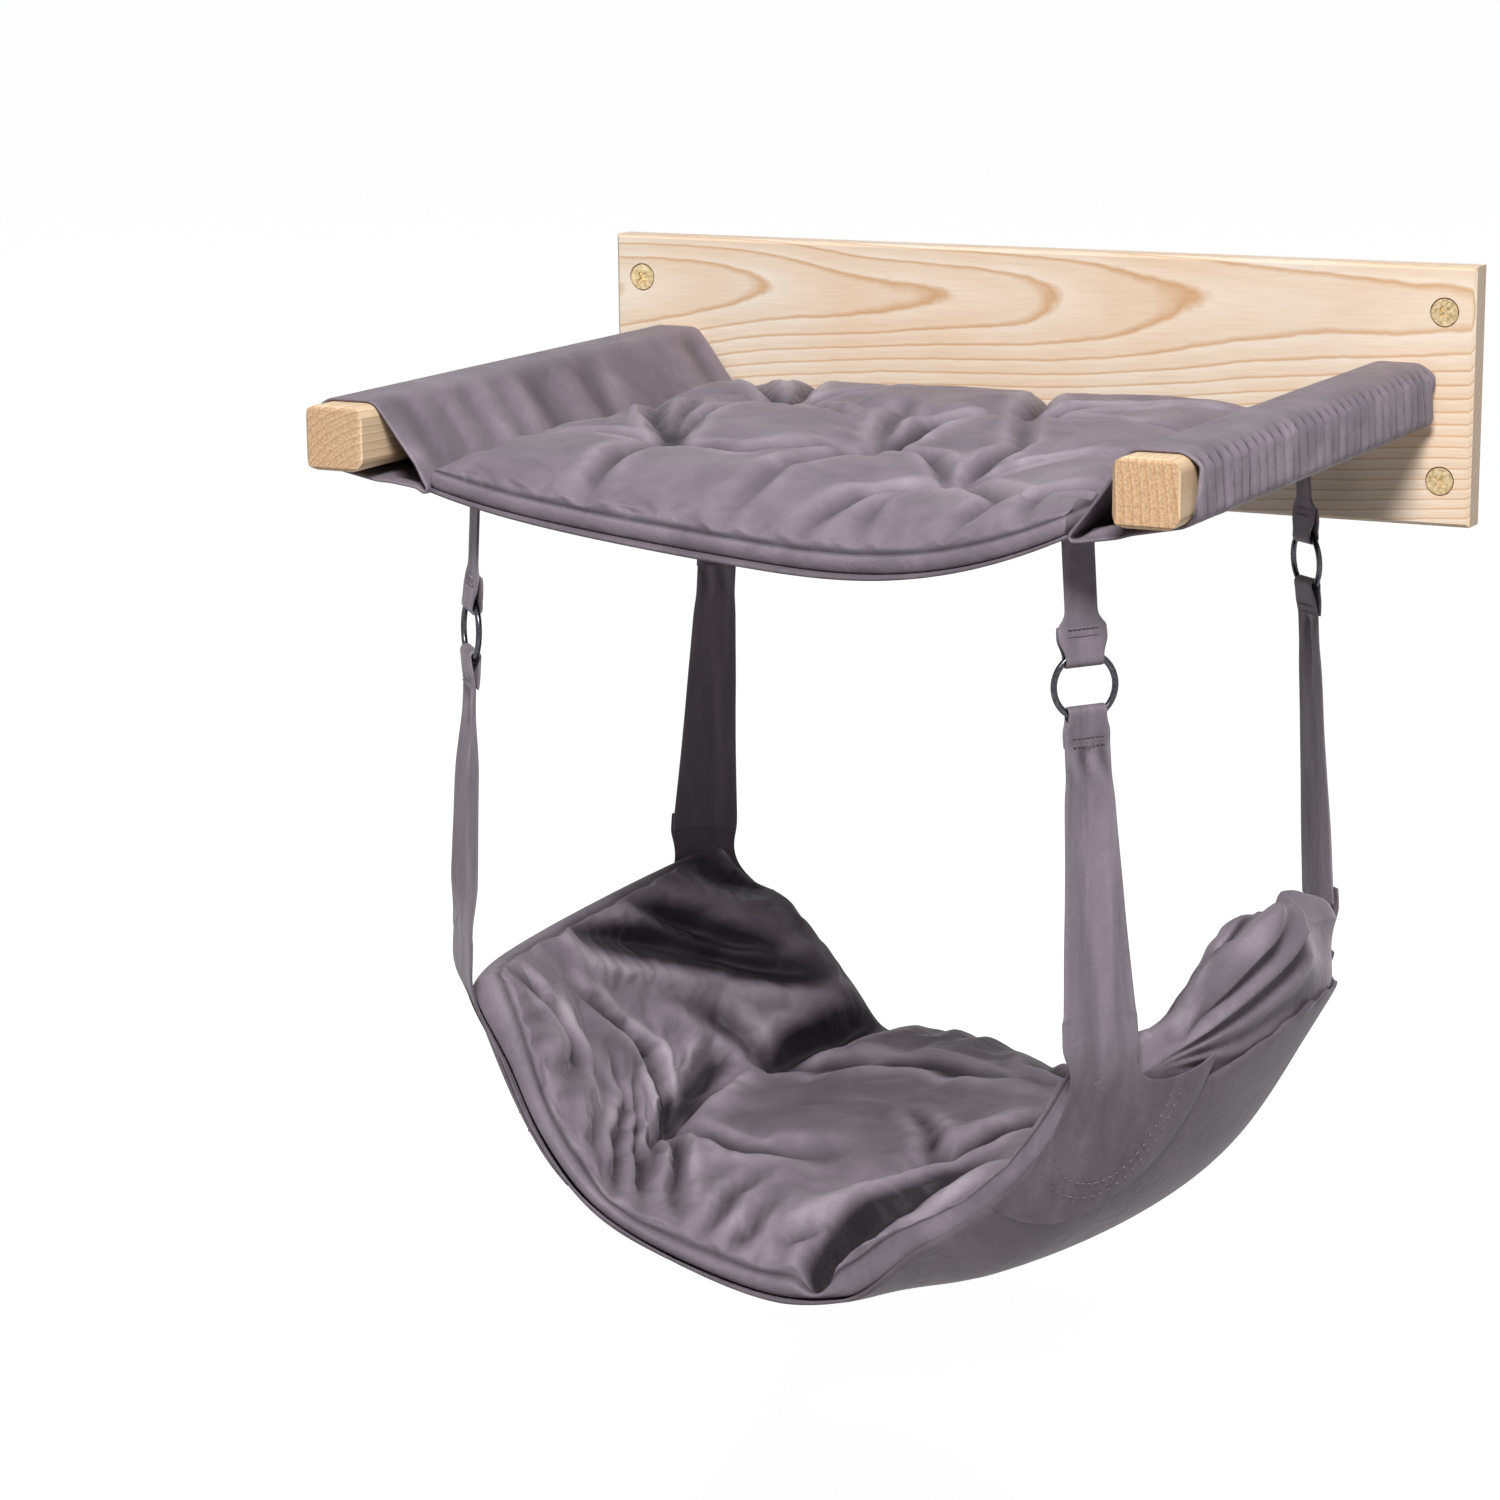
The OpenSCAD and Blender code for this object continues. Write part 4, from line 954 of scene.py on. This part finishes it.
upper_knots = knots("upper_tuft_stitches", UPPER_KNOTS, [Vector((0, 0, 1))] * len(UPPER_KNOTS))
lower_knots = knots("lower_tuft_stitches", LOWER_KNOTS,
                    [bed_normal(s * PAD_SHARE, t * PAD_SHARE) for s, t in LOWER_TUFT_SHARES])

# ---------------- what carries what
for piece, body, node, slot in (
        (upper_pad, "wall_frame", "upper_pad", "velvet"),
        (upper_sling, "wall_frame", "upper_sling", "velvet_under"),
        (left_sleeve, "wall_frame", "left_sleeve", "velvet"),
        (right_sleeve, "wall_frame", "right_sleeve", "velvet"),
        (upper_knots, "wall_frame", "upper_tuft_knots", "thread"),
        (lower_pad, "lower_bed", "lower_pad", "velvet"),
        (lower_sling, "lower_bed", "lower_sling", "velvet_under"),
        (lower_knots, "lower_bed", "lower_tuft_knots", "thread")):
    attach(piece, body)
    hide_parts(node)

# ---------------- camera, light and floor
# The camera's place and turn were fitted to the board's edges, the arms' ends and the sleeves
yaw, pitch, roll = math.radians(27.039), math.radians(12.718), math.radians(-0.475)
focal_pixels, frame_pixels, sensor = 3909.67, 1500, 36
forward = Vector((-math.sin(yaw) * math.cos(pitch), math.cos(yaw) * math.cos(pitch), -math.sin(pitch)))
right = Vector((math.cos(yaw), math.sin(yaw), 0))
upward = right.cross(forward)
across = math.cos(roll) * right + math.sin(roll) * upward
upright = -math.sin(roll) * right + math.cos(roll) * upward
camera = bpy.data.objects.new("camera", bpy.data.cameras.new("camera"))
camera.data.lens = focal_pixels / frame_pixels * sensor
camera.data.sensor_width = sensor
camera.matrix_world = Matrix.Translation((0.90755, -2.15761, 0.29559)) @ Matrix(
    (across, upright, -forward)).transposed().to_4x4()
scene.collection.objects.link(camera)
scene.camera = camera


def soft_light(name, place, aim, size, power):
    lamp = bpy.data.lights.new(name, "AREA")
    lamp.size = size
    lamp.energy = power
    made = bpy.data.objects.new(name, lamp)
    made.location = place
    made.rotation_euler = (Vector(aim) - Vector(place)).to_track_quat("-Z", "Y").to_euler()
    scene.collection.objects.link(made)


soft_light("high_key", (0.95, -2.4, 2.25), (0.0, -0.25, -0.2), 0.9, 155)
soft_light("right_fill", (2.4, -1.6, 0.2), (0.1, -0.2, -0.3), 1.6, 2)
soft_light("left_fill", (-2.2, -2.2, 0.8), (0, -0.2, -0.2), 1.6, 1)


def shown_directly(tree):
    """1 where the camera, a mirror image or clear glass shows a thing, and 0 where it only lights others."""
    ray = add_node(tree, "LightPath").outputs
    seen = add_node(tree, "Math", {0: ray["Is Camera Ray"], 1: ray["Is Glossy Ray"]}, operation="MAXIMUM")
    return add_node(tree, "Math", {0: seen.outputs[0], 1: ray["Is Transmission Ray"]},
                    operation="MAXIMUM").outputs[0]


world = bpy.data.worlds.new("studio")
scene.world = world
world.use_nodes = True
studio = world.node_tree
studio.nodes.clear()
level = add_node(studio, "MapRange", {"Value": shown_directly(studio), "To Min": 0.05, "To Max": 1.0})
sky = add_node(studio, "Background", {"Color": (1, 1, 1, 1), "Strength": level.outputs[0]})
add_node(studio, "OutputWorld", {"Surface": sky.outputs[0]})

# White paper floor: painted matt, and lifted to white for the camera, so that only its shadow shows
floor_paper, tree = new_material("matt_white_paper")
lift = add_node(tree, "Math", {0: shown_directly(tree), 1: 0.96}, operation="MULTIPLY")
paper = add_node(tree, "BsdfDiffuse", {"Color": linear("#c4c4c4")})
glow = add_node(tree, "Emission", {"Color": (1, 1, 1, 1), "Strength": lift.outputs[0]})
both = add_node(tree, "AddShader", {0: paper.outputs[0], 1: glow.outputs[0]})
add_node(tree, "OutputMaterial", {"Surface": both.outputs[0]})
FLOOR_HALF, FLOOR_LEVEL = 120000, -900
bm = bmesh.new()
bmesh.ops.create_grid(bm, x_segments=1, y_segments=1, size=FLOOR_HALF)
bmesh.ops.translate(bm, vec=(0, 0, FLOOR_LEVEL), verts=bm.verts)
floor = finish_mesh("floor", bm, floor_paper)

scene.view_settings.view_transform = "Standard"
